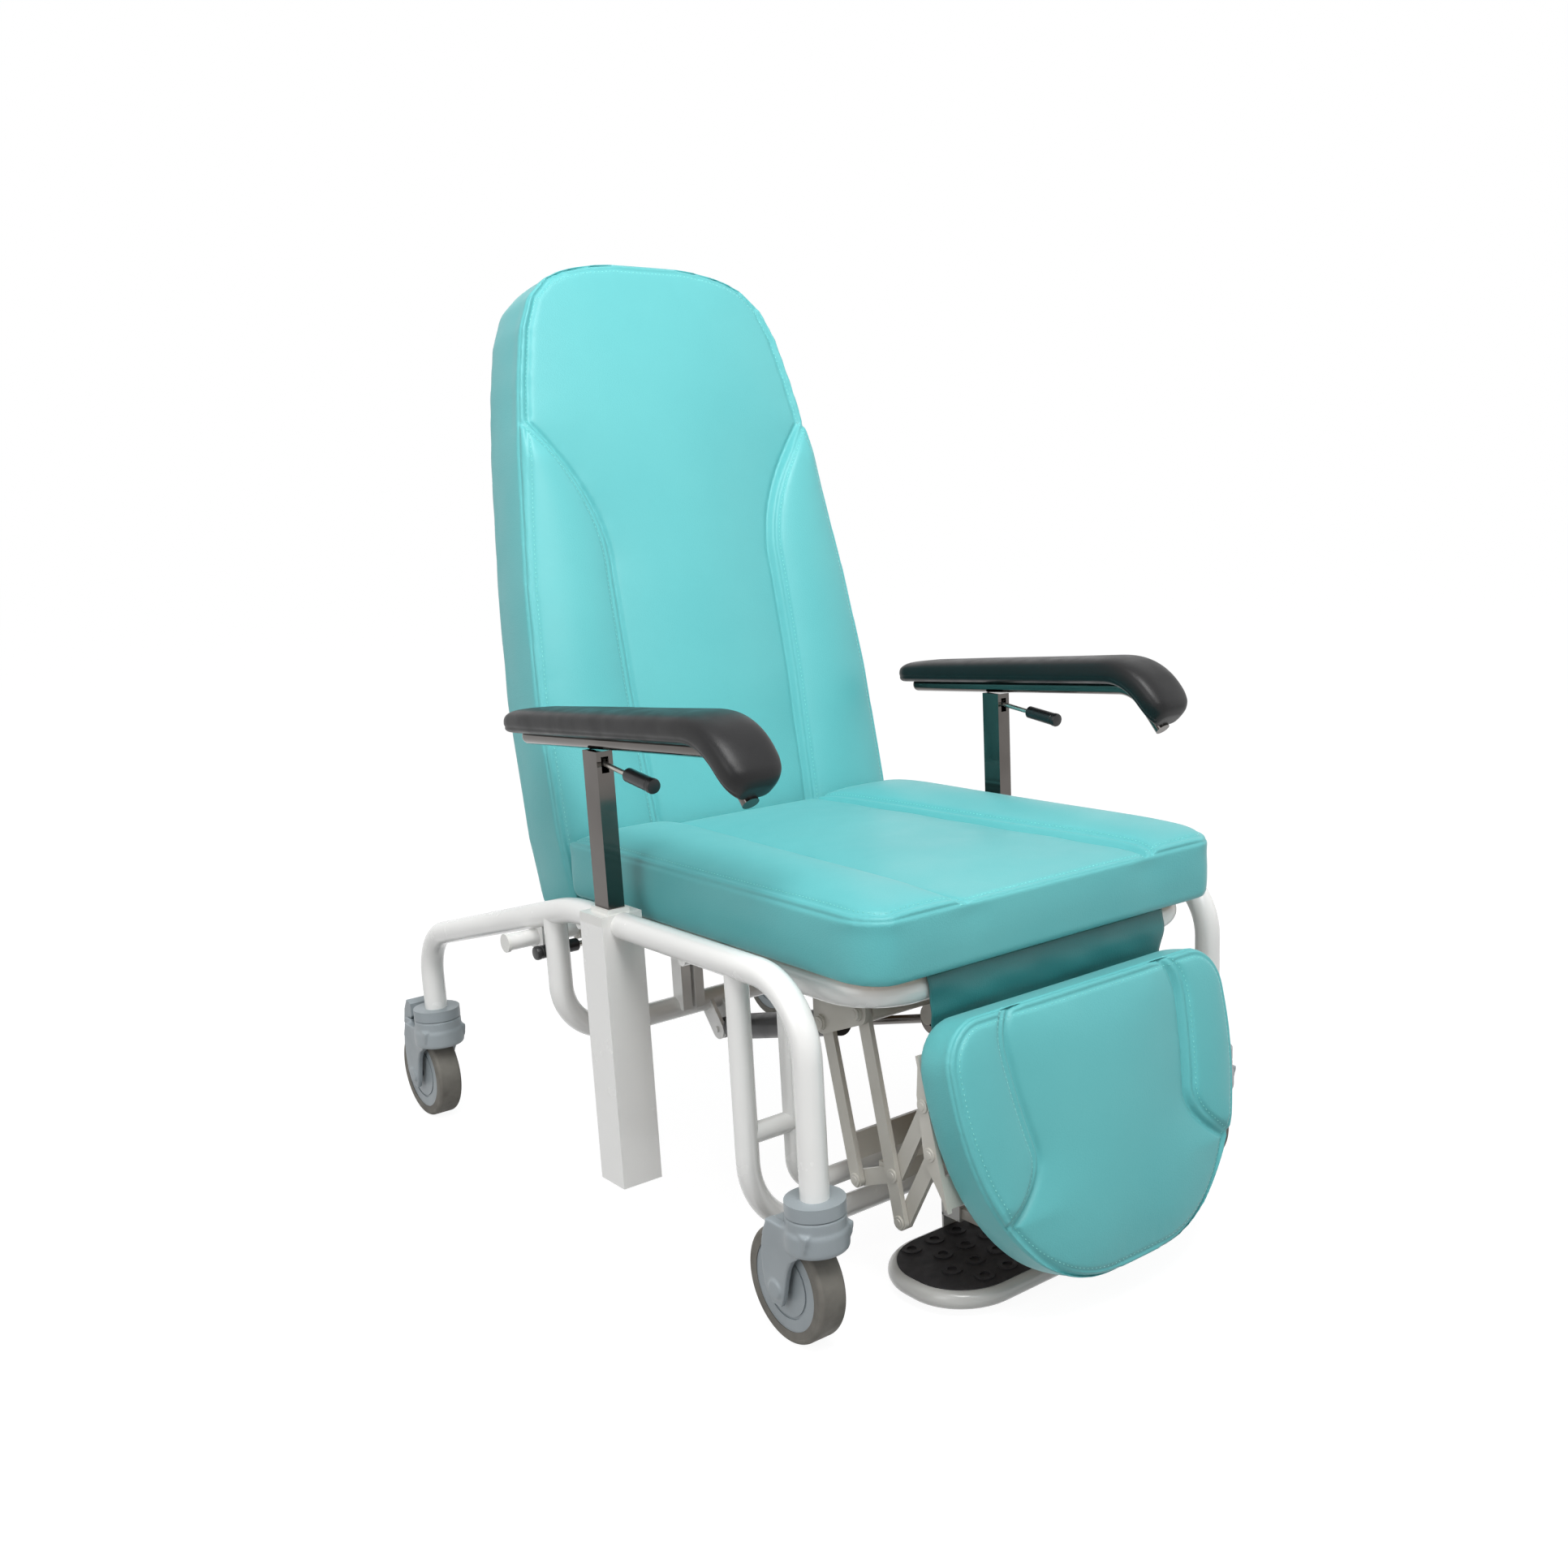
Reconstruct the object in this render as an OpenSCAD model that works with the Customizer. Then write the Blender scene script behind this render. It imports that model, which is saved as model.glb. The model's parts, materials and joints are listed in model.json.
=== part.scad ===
// Hospital recliner on four casters. The sitter faces -Y, +X is the sitter's left,
// +Z is up, and the origin is on the floor under the middle of the chair.
// Millimetres throughout.

/* [Base frame] */
// Distance between the front and rear caster stems
wheelbase = 872; // [840:1:920]
// Distance between the two side frames, centre to centre
track = 600; // [592:1:640]
// Outside diameter of the side frame tube
frame_tube_d = 30; // [28:1:32]
// Wall of the frame tubes
tube_wall = 2; // [1.5:0.5:3]
// Height of the side frame's level run, at the tube's centre
arch_z = 380; // [375:1:390]
// Height of the rear knee of the side frame
rear_knee_z = 268; // [250:1:290]
// Outside diameter of the rear cross tube
rear_cross_d = 28; // [24:1:29]
// Height of the rear cross tube
rear_cross_z = 212; // [205:1:220]
// Outside diameter of the front cross tube
front_cross_d = 25; // [22:1:28]
// Height of the front cross tube
front_cross_z = 77; // [76:1:84]

/* [Armrests] */
// Side of the square sleeve post
sleeve_w = 50; // [46:1:54]
// Height of the sleeve's lower end above the floor
sleeve_bottom_z = 73; // [60:1:90]
// Depth of the chrome post, front to back
post_depth = 30; // [26:1:32]
// Width of the chrome post, side to side
post_width = 20; // [16:1:24]
// Height of the chrome post's upper end at rest
post_top_z = 574; // [560:1:600]
// Width of the arm pad
pad_w = 72; // [64:1:76]
// Thickness of the arm pad
pad_t = 34; // [28:1:38]

/* [Seat] */
// Width of the seat cushion
seat_w = 520; // [500:1:524]
// Height of the seat cushion's underside board
seat_base_z = 372.4; // [372.4:0.1:376]
// Height of the seat's edge seam
seat_seam_z = 441; // [430:1:445]
// Where the seat cushion ends at the front
seat_front_y = -490; // [-494:1:-480]
// Rise of the seat's side bolsters above the seam
seat_crown = 18; // [8:1:22]

/* [Backrest] */
// Length of the back cushion
back_len = 790; // [760:1:810]
// Width of the back cushion at its widest
back_w = 516; // [490:1:520]
// Lean of the backrest from upright at rest
back_lean = 10.5; // [8:0.5:13]
// Rise of the back cushion's crown
back_crown = 24; // [12:1:28]

/* [Legrest] */
// Length of the legrest cushion
legrest_len = 298; // [270:1:300]
// Width of the legrest cushion
legrest_w = 412; // [404:1:420]
// Lean of the hanging legrest from upright
legrest_lean = 13.5; // [12:0.5:15]
// Rise of the legrest cushion's crown
legrest_crown = 18; // [10:1:22]
// Width of the foot plate
plate_w = 366; // [340:1:370]
// Depth of the foot plate
plate_depth = 158; // [140:1:164]

/* [Casters] */
// Diameter of the wheels
wheel_d = 125; // [120:1:125]
// Width of the tyres
tyre_w = 32; // [28:1:34]
// Height of the caster's top ring above the floor
caster_h = 165; // [163:1:170]
// Trail of the wheel behind the stem
trail = 38; // [34:1:40]

/* [Hidden] */
$fn = 48;

// Colours as photographed
white_paint = [0.93, 0.93, 0.92];
vinyl = [0.32, 0.72, 0.72];
grey_plastic = [0.55, 0.60, 0.62];
dark_rubber = [0.16, 0.16, 0.17];
black_foam = [0.10, 0.10, 0.11];
chrome = [0.80, 0.80, 0.82];
beige_steel = [0.62, 0.60, 0.56];
plywood = [0.70, 0.56, 0.38];
pale_gloss = [0.78, 0.78, 0.76];

// Shared fits
overrun = 1;
seat_gap = 0.3;
run_gap = 0.05;
face_gap = 0.5;
bend_lap = 0.5;
edge_step = 0.15;
bend_step = 0.02;

// Main places
side_x = track / 2;
caster_y = wheelbase / 2;
sleeve_y = -77;
rear_cross_y = 57;
front_cross_y = -322;
arch_break_y = 10;
knee_r = 75;
arch_break_r = 250;

// Side frame centre line in Y and Z, from the rear caster to the front one
arch_path = [
    [caster_y, caster_h],
    [caster_y, rear_knee_z],
    [arch_break_y, arch_z],
    [-caster_y, arch_z],
    [-caster_y, caster_h]
];
arch_radii = [0, knee_r, arch_break_r, knee_r, 0];
arch_slope = (arch_z - rear_knee_z) / (caster_y - arch_break_y);
function arch_height(y) = y > arch_break_y ? arch_z - (y - arch_break_y) * arch_slope : arch_z;

// Sleeve post
sleeve_wall = 2;
sleeve_top_z = arch_z + 2;
sleeve_cap_t = 11;
sleeve_floor_t = 3;
cap_skirt_h = 22;
cap_skirt_gap = 0.2;
collar_h = 5;
collar_wall = 3.5;
post_wall = 2;
post_len = 392;
post_bottom_z = post_top_z - post_len;
slider_h = 30;

// Back axle and the hub tube that turns on it
axle_d = 20;
axle_wall = 2.5;
axle_y = 105;
axle_end_x = side_x + 40;
axle_cap_t = 4;
axle_cap_d = 23;
axle_plug_len = 12;
axle_z = arch_height(axle_y) - (frame_tube_d / 2) * sqrt(1 + arch_slope * arch_slope) - axle_d / 2 - seat_gap;
saddle_t = 6;
saddle_depth = 34;
saddle_drop = 15;
hub_d = 28;
hub_half_len = 250;

// Seat frame
seat_tube_d = 32;
seat_tube_gap = 65;
seat_tube_x = side_x - seat_tube_gap;
seat_tube_z = seat_base_z - seat_tube_d / 2 - 0.4;
seat_tube_front_y = seat_front_y + 36;
seat_tube_rear_y = 62;
seat_tube_r = 60;
seat_rail_w = 30;
seat_rail_h = 20;
seat_rail_wall = 2;
spring_rail_y = -200;
outrigger_d = 14;
outrigger_z = seat_tube_z + 8;
outrigger_places = [-220, 0];
seat_board_t = 12;
seat_board_inset = 14;
seat_rear_y = 86;
flap_t = 3;
flap_lift = 11.3;

// Inner U tube and the ties between it and the front cross tube
inner_u_d = 22;
inner_u_gap = 60;
inner_u_x = side_x - inner_u_gap;
inner_u_z = 118;
inner_u_r = 36;
tie_z = 196;
front_cross_r = 90;
rear_cross_r = 65;

// Uprights that carry the seat frame on the rear cross tube
upright_x = 130;
upright_w = 32;
upright_depth = 22;
upright_groove = 5;

// Legrest linkage, places in Y and Z. Each pair of links is a parallelogram.
lift_pivot = [-395, 322];
arm_vec = [-39, -167];
arm_tip_vec = [-47, -216];
crank_vec = [62, -24];
reach_vec = [-52, 90];
lift_max = 75;
arm_mid = lift_pivot + arm_vec;
arm_tip = lift_pivot + arm_tip_vec;
rocker_pivot = lift_pivot + crank_vec;
rocker_tip = arm_mid + crank_vec;
reach_top = arm_mid + reach_vec;
reach_low = arm_tip + reach_vec;
link_w = 18;
link_t = 5.5;
pin_d = 10;
pin_head_d = 17;
pin_head_t = 3;
plate_t = 5;
plate_x = 200;
arm_x = plate_x - face_gap - link_t;
link_x = arm_x - face_gap - link_t;
pin_inner_x = link_x - face_gap;
lift_shaft_d = 25;
lift_shaft_wall = 3;
tie_bar_w = 20;
tie_bar_place = [26, -8];
rocker_bar_h = 28;
rocker_bar_t = 8;
rocker_bar_share = 0.8;

// Gas spring of the legrest
leg_spring_x = -90;
leg_lug = [30, 178];
leg_crank_r = 36;
leg_spring_d = 32;
leg_rod_d = 10;
leg_barrel_len = 232;
leg_slot_play = 3.9;
spring_eye_t = 12;
spring_eye_d = 26;
spring_pin_d = 8;
spring_neck = 9;
lug_t = 5;
lug_w = 26;
leg_line = atan2(lift_pivot[1] - leg_crank_r - leg_lug[1], lift_pivot[0] - leg_lug[0]);
leg_crank_mid_angle = leg_line + 90;
leg_crank_angle = leg_crank_mid_angle + lift_max / 2;
leg_pin = lift_pivot + leg_crank_r * [cos(leg_crank_angle), sin(leg_crank_angle)];
leg_sagitta = leg_crank_r * (1 - cos(lift_max / 2));
leg_eye = leg_pin + leg_sagitta / 2 * [cos(leg_crank_mid_angle), sin(leg_crank_mid_angle)];

// Gas spring of the backrest
back_spring_x = 75;
back_lug = [spring_rail_y, 303];
back_lever_r = 55;
recline_max = 50;
back_spring_d = 28;
back_barrel_len = 186;
back_slot_play = 2.9;
back_lever_angle = -90 + recline_max / 2;
back_pin = [axle_y, axle_z] + back_lever_r * [cos(back_lever_angle), sin(back_lever_angle)];
back_sagitta = back_lever_r * (1 - cos(recline_max / 2));
back_eye = back_pin - [0, back_sagitta / 2];

// Backrest, in its own frame: along it from the axle, and out of its face.
// Its seam plane lies in front of the axle.
back_seam_y = -13;
back_start = 26;
cushion_depth = 52;
back_board_t = 12;
back_board_inset = 16;
back_shell_t = 24;
back_shell_inset = 5;
back_rail_x = 165;
back_rail_w = 25;
back_rail_t = 15;
back_rail_len = 700;
back_foot_h = 24;
back_rail_wall = 2;
back_bar_shares = [0.2, 0.55, 0.9];
pocket_gap = 1;

// Legrest panel, in its own frame: along it from its top, and out of its face
legrest_top_z = 325;
legrest_rear_y = -474;
legrest_depth = 37;
legrest_board_t = 12;
legrest_board_inset = 20;
legrest_rib_t = 4;
legrest_rib_w = 26;
bracket_start = 30;
bracket_end = 190;
bracket_feet = [[30, 24], [154, 32]];
bracket_foot_w = 36;
foot_strap = 90;
rail_x = 60;
rail_side = 12;
rail_z = 52;
rail_rear_y = -362;
rail_front_y = -514;
collar_len = 30;
collar_t = 3;
collar_rear_y = rail_rear_y + collar_t + 1;
collar_gap = 0.25;
plate_rear_y = -352;
plate_z = 16;
plate_thick = 10;
plate_corner_r = 72;
mat_t = 3;
mat_inset = 10;
stud_d = 22;
stud_hole_d = 11;
stud_t = 1.5;
stud_pitch = 33;

// Arm carrier and pad, along a line that rises towards the front
arm_rise = 3;
carrier_d = 18;
carrier_wall = 2;
carrier_bend_r = 40;
nose_bend = 65;
pad_rear_y = 62;
carrier_rear_y = 88;
carrier_bend_y = -318;
carrier_tail = 14;
plug_t = 4;
pad_round = 10;
pad_lap = 1;
pad_step = 0.25;
lever_top_wall = 6;
lever_fall = 8;
window_gap = 1.5;
lever_rod_d = 6;
lever_grip_d = 16;
lever_rod_len = 64;
lever_grip_len = 52;
lever_boss_d = 9;
lever_yaw = 6;

// Casters
cap_ring_d = 62;
cap_ring_t = 14;
stem_plug_len = 34;
stem_pin_d = 12;
stem_pin_len = 24;
fork_head_d = 62;
fork_head_h = 38;
fork_skirt_d = 66;
fork_skirt_h = 24;
fork_clearance = 3;
fork_w = 52;
cheek_t = 6;
cheek_r = 14;
hood_rear = 46;
hood_front = -26;
rim_d = 98;
rim_w = 30;
rim_groove_d = 72;
rim_groove_w = 3;
rim_groove_depth = 1.5;
hub_axle_d = 10;
pedal_pivot = [54, 136];
pedal_w = 38;
pedal_outline = [
    [44, 146], [45, 163], [57, 167], [67, 152], [73, 131], [67, 127], [61, 139], [50, 138]
];
pedal_boss_d = 12;
pedal_pin_d = 6;
pedal_ear_t = 4;

// Recline lever
lever_y = 79.5;
lever_pivot_z = 316;
lever_inset = 11;
lever_pivot_x = seat_tube_x - lever_inset;
recline_rod_d = 7;
recline_grip_d = 16;
recline_grip_len = 58;
recline_reach = 96;
lever_boss_w = 10;
lever_lug_t = 5;
lever_plate_t = 5;

// Unit helpers
function heading(a, b) = atan2(b[1] - a[1], b[0] - a[0]);
function wrap(t) = t > 180 ? t - 360 : t < -180 ? t + 360 : t;
function turn(path, i) = wrap(heading(path[i], path[i + 1]) - heading(path[i - 1], path[i]));
function trimmed(path, radii, i) =
    i <= 0 || i >= len(path) - 1 ? 0 : radii[i] * tan(abs(turn(path, i)) / 2);

module tube_section(od, wall) {
    difference() {
        circle(d = od);
        if (wall < od / 3) circle(d = od - 2 * wall);
    }
}

// A bent tube along a path in the XY plane; a wall of half the diameter makes it solid.
// Each bend is a trace thinner than the straights and reaches a little way into them.
module bent_tube(path, radii, od, wall) {
    for (i = [0:len(path) - 2]) {
        phi = heading(path[i], path[i + 1]);
        start = trimmed(path, radii, i);
        run = norm(path[i + 1] - path[i]) - start - trimmed(path, radii, i + 1);
        translate([path[i][0] + start * cos(phi), path[i][1] + start * sin(phi), 0])
            rotate([90, 0, phi + 90]) linear_extrude(run) tube_section(od, wall);
    }
    for (i = [1:len(path) - 2]) {
        phi = heading(path[i - 1], path[i]);
        t = turn(path, i);
        side = sign(t);
        back = trimmed(path, radii, i);
        lap = atan2(bend_lap, radii[i]);
        start_angle = side > 0 ? phi - 90 : phi + 90 + t;
        translate([
            path[i][0] - back * cos(phi) - side * radii[i] * sin(phi),
            path[i][1] - back * sin(phi) + side * radii[i] * cos(phi),
            0
        ])
            rotate([0, 0, start_angle - lap])
            rotate_extrude(angle = abs(t) + 2 * lap)
            translate([radii[i], 0]) tube_section(od - 2 * bend_step, wall - 2 * bend_step);
    }
}

// Turns an XY drawing so that its x runs along Y and its y runs along Z
module in_yz() {
    rotate([90, 0, 90]) children();
}

// A plate in the YZ plane, from x to x + t
module yz_plate(x, t) {
    translate([x, 0, 0]) in_yz() linear_extrude(t) children();
}

// A round bar along X through a place given in Y and Z
module x_bar(place, x0, x1, d) {
    translate([x0, place[0], place[1]]) rotate([0, 90, 0]) cylinder(d = d, h = x1 - x0);
}

// Copies onto the sitter's right side too
module both_sides() {
    children();
    mirror([1, 0, 0]) children();
}

module round_rect(w, h, r) {
    translate([r, 0]) square([w - 2 * r, h]);
    translate([0, r]) square([w, h - 2 * r]);
    for (x = [r, w - r], y = [r, h - r]) translate([x, y]) circle(r = r);
}

// A flat link between two places, its round ends a trace wider than its sides
module link_outline(a, b, w) {
    run = norm(b - a);
    translate(a) rotate(heading(a, b)) translate([0, -w / 2 + edge_step]) square([run, w - 2 * edge_step]);
    translate(a) circle(d = w);
    translate(b) circle(d = w);
}

module bore_2d(place) {
    translate(place) circle(d = pin_d + 2 * run_gap);
}

module arch_rod(side, d, wall) {
    translate([side * side_x, 0, 0]) in_yz() bent_tube(arch_path, arch_radii, d, wall);
}

module arch_rods() {
    for (side = [-1, 1]) arch_rod(side, frame_tube_d, frame_tube_d / 2);
}

// Side frames with the saddles that carry the back axle
module side_arch(side) {
    color(white_paint) {
        difference() {
            arch_rod(side, frame_tube_d, tube_wall);
            translate([side * side_x - sleeve_w / 2, sleeve_y - sleeve_w / 2, sleeve_bottom_z])
                cube([sleeve_w, sleeve_w, caster_h + arch_z]);
        }
        difference() {
            translate([side * side_x - saddle_t / 2, axle_y - saddle_depth / 2, axle_z - saddle_drop])
                cube([saddle_t, saddle_depth, saddle_drop + axle_d + frame_tube_d / 2]);
            x_bar([axle_y, axle_z], side * side_x - saddle_t, side * side_x + saddle_t, axle_d + 2 * run_gap);
            arch_rod(side, frame_tube_d, frame_tube_d / 2);
        }
    }
}

module side_arch_right() { side_arch(-1); }
module side_arch_left() { side_arch(1); }

module sleeve_post(side) {
    h = sleeve_top_z - sleeve_bottom_z;
    inner = sleeve_w - 2 * sleeve_wall;
    color(white_paint)
    translate([side * side_x, sleeve_y, sleeve_bottom_z]) difference() {
        translate([-sleeve_w / 2, -sleeve_w / 2, 0]) cube([sleeve_w, sleeve_w, h]);
        translate([-inner / 2, -inner / 2, sleeve_floor_t]) cube([inner, inner, h]);
    }
}

module sleeve_post_right() { sleeve_post(-1); }
module sleeve_post_left() { sleeve_post(1); }

// White plastic ends of the sleeve posts, with the guides of the chrome posts,
// and of the back axle
module end_caps() {
    inner = sleeve_w - 2 * sleeve_wall - 2 * cap_skirt_gap;
    hole_x = post_width + 2 * collar_gap;
    hole_y = post_depth + 2 * collar_gap;
    color(white_paint) for (side = [-1, 1]) {
        translate([side * side_x, sleeve_y, sleeve_top_z]) difference() {
            union() {
                translate([-sleeve_w / 2, -sleeve_w / 2, 0]) cube([sleeve_w, sleeve_w, sleeve_cap_t]);
                translate([-inner / 2, -inner / 2, -cap_skirt_h]) cube([inner, inner, cap_skirt_h]);
                translate([-hole_x / 2 - collar_wall, -hole_y / 2 - collar_wall, sleeve_cap_t])
                    cube([hole_x + 2 * collar_wall, hole_y + 2 * collar_wall, collar_h]);
            }
            translate([-hole_x / 2, -hole_y / 2, -cap_skirt_h - overrun])
                cube([hole_x, hole_y, cap_skirt_h + sleeve_cap_t + collar_h + 2 * overrun]);
        }
        translate([side * axle_end_x, axle_y, axle_z]) rotate([0, side * 90, 0]) {
            cylinder(d = axle_cap_d, h = axle_cap_t);
            translate([0, 0, -axle_plug_len])
                cylinder(d = axle_d - 2 * axle_wall - 2 * run_gap, h = axle_plug_len);
        }
    }
}

// A tube that drops from the side frames, crosses, and rises again
module cross_u(y, x, z, top_z, r, d) {
    path = [[-x, top_z], [-x, z], [x, z], [x, top_z]];
    translate([0, y, 0]) rotate([90, 0, 0]) bent_tube(path, [0, r, r, 0], d, tube_wall);
}

module rear_cross_tube() {
    color(white_paint) {
        difference() {
            cross_u(rear_cross_y, side_x, rear_cross_z, arch_height(rear_cross_y), rear_cross_r, rear_cross_d);
            arch_rods();
        }
        spring_lugs(leg_spring_x, leg_lug, [rear_cross_y, rear_cross_z], rear_cross_d);
    }
}

// A pair of lug plates that hang from a tube, and the pin through them
module spring_lugs(x, place, tube_place, tube_d) {
    gap = spring_eye_t / 2 + face_gap;
    for (side = [-1, 1]) difference() {
        yz_plate(side > 0 ? x + gap : x - gap - lug_t, lug_t) link_outline(place, tube_place, lug_w);
        translate([x - overrun * lug_w, tube_place[0], tube_place[1]]) rotate([0, 90, 0])
            cylinder(d = tube_d, h = 2 * overrun * lug_w);
    }
    x_bar(place, x - gap - lug_t - pin_head_t, x + gap + lug_t + pin_head_t, spring_pin_d);
}

module front_cross_tube() {
    color(white_paint) difference() {
        cross_u(front_cross_y, side_x, front_cross_z, arch_z, front_cross_r, front_cross_d);
        arch_rods();
    }
}

module seat_tube(wall) {
    path = [
        [-seat_tube_x, seat_tube_rear_y],
        [-seat_tube_x, seat_tube_front_y],
        [seat_tube_x, seat_tube_front_y],
        [seat_tube_x, seat_tube_rear_y]
    ];
    translate([0, 0, seat_tube_z])
        bent_tube(path, [0, seat_tube_r, seat_tube_r, 0], seat_tube_d, wall);
}

module inner_u_tube() {
    color(white_paint) difference() {
        union() {
            cross_u(front_cross_y, inner_u_x, inner_u_z, seat_tube_z, inner_u_r, inner_u_d);
            both_sides() difference() {
                x_bar([front_cross_y, tie_z], inner_u_x, side_x, inner_u_d);
                x_bar([front_cross_y, tie_z], inner_u_x - overrun, side_x + overrun, inner_u_d - 2 * tube_wall);
                translate([inner_u_x, front_cross_y, tie_z - inner_u_d])
                    cylinder(d = inner_u_d, h = 2 * inner_u_d);
            }
        }
        seat_tube(seat_tube_d / 2);
        both_sides() translate([side_x, front_cross_y, tie_z - inner_u_d])
            cylinder(d = front_cross_d, h = 2 * inner_u_d);
    }
}

// U tube round the seat with two cross rails, the outriggers to the side frames,
// and the lugs of the back spring
module seat_frame() {
    color(white_paint) {
        seat_tube(tube_wall);
        for (y = [seat_tube_rear_y - seat_rail_w / 2, spring_rail_y]) difference() {
            translate([-seat_tube_x, y - seat_rail_w / 2, seat_tube_z - seat_rail_h / 2])
                cube([2 * seat_tube_x, seat_rail_w, seat_rail_h]);
            translate([
                -seat_tube_x - overrun,
                y - seat_rail_w / 2 + seat_rail_wall,
                seat_tube_z - seat_rail_h / 2 + seat_rail_wall
            ])
                cube([
                    2 * seat_tube_x + 2 * overrun,
                    seat_rail_w - 2 * seat_rail_wall,
                    seat_rail_h - 2 * seat_rail_wall
                ]);
            seat_tube(seat_tube_d / 2);
        }
        difference() {
            both_sides() for (y = outrigger_places)
                x_bar([y, outrigger_z], seat_tube_x, side_x, outrigger_d);
            arch_rods();
            seat_tube(seat_tube_d / 2);
        }
        spring_lug_plates();
        lever_lug();
    }
}

// Lugs under the middle rail for the back spring's barrel
module spring_lug_plates() {
    gap = spring_eye_t / 2 + face_gap;
    top = [spring_rail_y, seat_tube_z - seat_rail_h / 2];
    for (side = [-1, 1]) difference() {
        yz_plate(side > 0 ? back_spring_x + gap : back_spring_x - gap - lug_t, lug_t)
            link_outline(back_lug, top, lug_w);
        translate([0, top[0] - lug_w, top[1]]) cube([2 * back_spring_x, 2 * lug_w, seat_tube_d]);
    }
    x_bar(back_lug, back_spring_x - gap - lug_t - pin_head_t,
        back_spring_x + gap + lug_t + pin_head_t, spring_pin_d);
}

// Lugs behind the seat frame's rear tube for the recline lever
module lever_lug() {
    half_gap = lever_boss_w / 2 + face_gap;
    top = seat_tube_z - seat_tube_d / 2 + lever_plate_t / 2;
    difference() {
        union() {
            for (y = [lever_y - lever_lug_t - half_gap, lever_y + half_gap])
                translate([-lever_pivot_x - lug_w / 2, y, lever_pivot_z - lug_w / 4])
                    cube([lug_w, lever_lug_t, top - lever_pivot_z + lug_w / 4]);
            translate([-lever_pivot_x - lug_w / 2, seat_tube_rear_y, top - lever_plate_t / 2])
                cube([lug_w, lever_y + half_gap + lever_lug_t - seat_tube_rear_y, lever_plate_t]);
            translate([-lever_pivot_x, lever_y - half_gap - overrun, lever_pivot_z])
                rotate([-90, 0, 0]) cylinder(d = spring_pin_d, h = 2 * (half_gap + overrun));
        }
        seat_tube(seat_tube_d / 2);
    }
}

module seat_board() {
    w = seat_w - 2 * seat_board_inset;
    depth = seat_rear_y - seat_front_y - 2 * seat_board_inset;
    color(plywood)
    translate([-w / 2, seat_front_y + seat_board_inset, seat_base_z])
        linear_extrude(seat_board_t) round_rect(w, depth, seat_tube_r / 2);
}

module back_axle() {
    color(white_paint) difference() {
        x_bar([axle_y, axle_z], -axle_end_x, axle_end_x, axle_d);
        x_bar([axle_y, axle_z], -axle_end_x - overrun, axle_end_x + overrun, axle_d - 2 * axle_wall);
    }
}

// Channel-shaped uprights between the rear cross tube and the seat frame's rear rail
module seat_uprights() {
    top = seat_tube_z - seat_rail_h / 2;
    y = seat_tube_rear_y - seat_rail_w / 2;
    color(white_paint) both_sides() difference() {
        translate([upright_x - upright_w / 2, y - upright_depth / 2, rear_cross_z])
            cube([upright_w, upright_depth, top - rear_cross_z]);
        translate([upright_x - upright_groove / 2, y - upright_depth / 2 - overrun, rear_cross_z])
            cube([upright_groove, upright_depth / 2 + overrun, top - rear_cross_z + overrun]);
        x_bar([rear_cross_y, rear_cross_z], upright_x - upright_w, upright_x + upright_w, rear_cross_d);
    }
}

// Plates under the seat frame that carry the legrest linkage
module link_plates() {
    top_z = seat_tube_z + seat_tube_d / 4;
    color(beige_steel) both_sides() {
        yz_plate(plate_x, plate_t) {
            link_outline(lift_pivot, rocker_pivot, lug_w);
            polygon([
                lift_pivot - [lug_w / 2, 0],
                [lift_pivot[0] - lug_w / 2, top_z],
                [rocker_pivot[0] + lug_w / 2, top_z],
                rocker_pivot + [lug_w / 2, 0]
            ]);
        }
        difference() {
            translate([plate_x + plate_t, lift_pivot[0] - lug_w / 2, seat_tube_z - seat_tube_d / 4])
                cube([seat_tube_x - plate_x - plate_t, crank_vec[0] + lug_w, seat_tube_d / 2]);
            seat_tube(seat_tube_d / 2);
        }
        for (place = [lift_pivot, rocker_pivot]) {
            x_bar(place, pin_inner_x, plate_x, pin_d);
            x_bar(place, plate_x + plate_t, plate_x + plate_t + pin_head_t, pin_head_d);
        }
    }
}

// Bars that swing the legrest, the shaft that ties them, and the crank of the gas spring
module lift_arms() {
    gap = spring_eye_t / 2 + face_gap;
    color(beige_steel) {
        both_sides() {
            yz_plate(arm_x, link_t) difference() {
                link_outline(lift_pivot, arm_tip, link_w);
                bore_2d(lift_pivot);
            }
            for (place = [arm_mid, arm_tip]) x_bar(place, pin_inner_x, arm_x, pin_d);
        }
        difference() {
            x_bar(lift_pivot, -arm_x, arm_x, lift_shaft_d);
            x_bar(lift_pivot, -arm_x - overrun, arm_x + overrun, lift_shaft_d - 2 * lift_shaft_wall);
        }
        for (side = [-1, 1]) difference() {
            yz_plate(side > 0 ? leg_spring_x + gap : leg_spring_x - gap - lug_t, lug_t)
                link_outline(lift_pivot, leg_pin, link_w);
            x_bar(lift_pivot, leg_spring_x - lug_w, leg_spring_x + lug_w, lift_shaft_d - lift_shaft_wall);
        }
        x_bar(leg_pin, leg_spring_x - gap, leg_spring_x + gap, spring_pin_d);
    }
}

// Rear pair of hanging bars, tied by a flat bar
module rear_rockers() {
    place = rocker_pivot + rocker_bar_share * arm_vec;
    lean = atan2(-arm_vec[0], -arm_vec[1]);
    color(beige_steel) {
        both_sides() {
            yz_plate(arm_x, link_t) difference() {
                link_outline(rocker_pivot, rocker_tip, link_w);
                bore_2d(rocker_pivot);
            }
            x_bar(rocker_tip, pin_inner_x, arm_x, pin_d);
        }
        translate([0, place[0], place[1]]) rotate([-lean, 0, 0])
            translate([-arm_x, -rocker_bar_t / 2, -rocker_bar_h / 2])
            cube([2 * arm_x, rocker_bar_t, rocker_bar_h]);
    }
}

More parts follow.
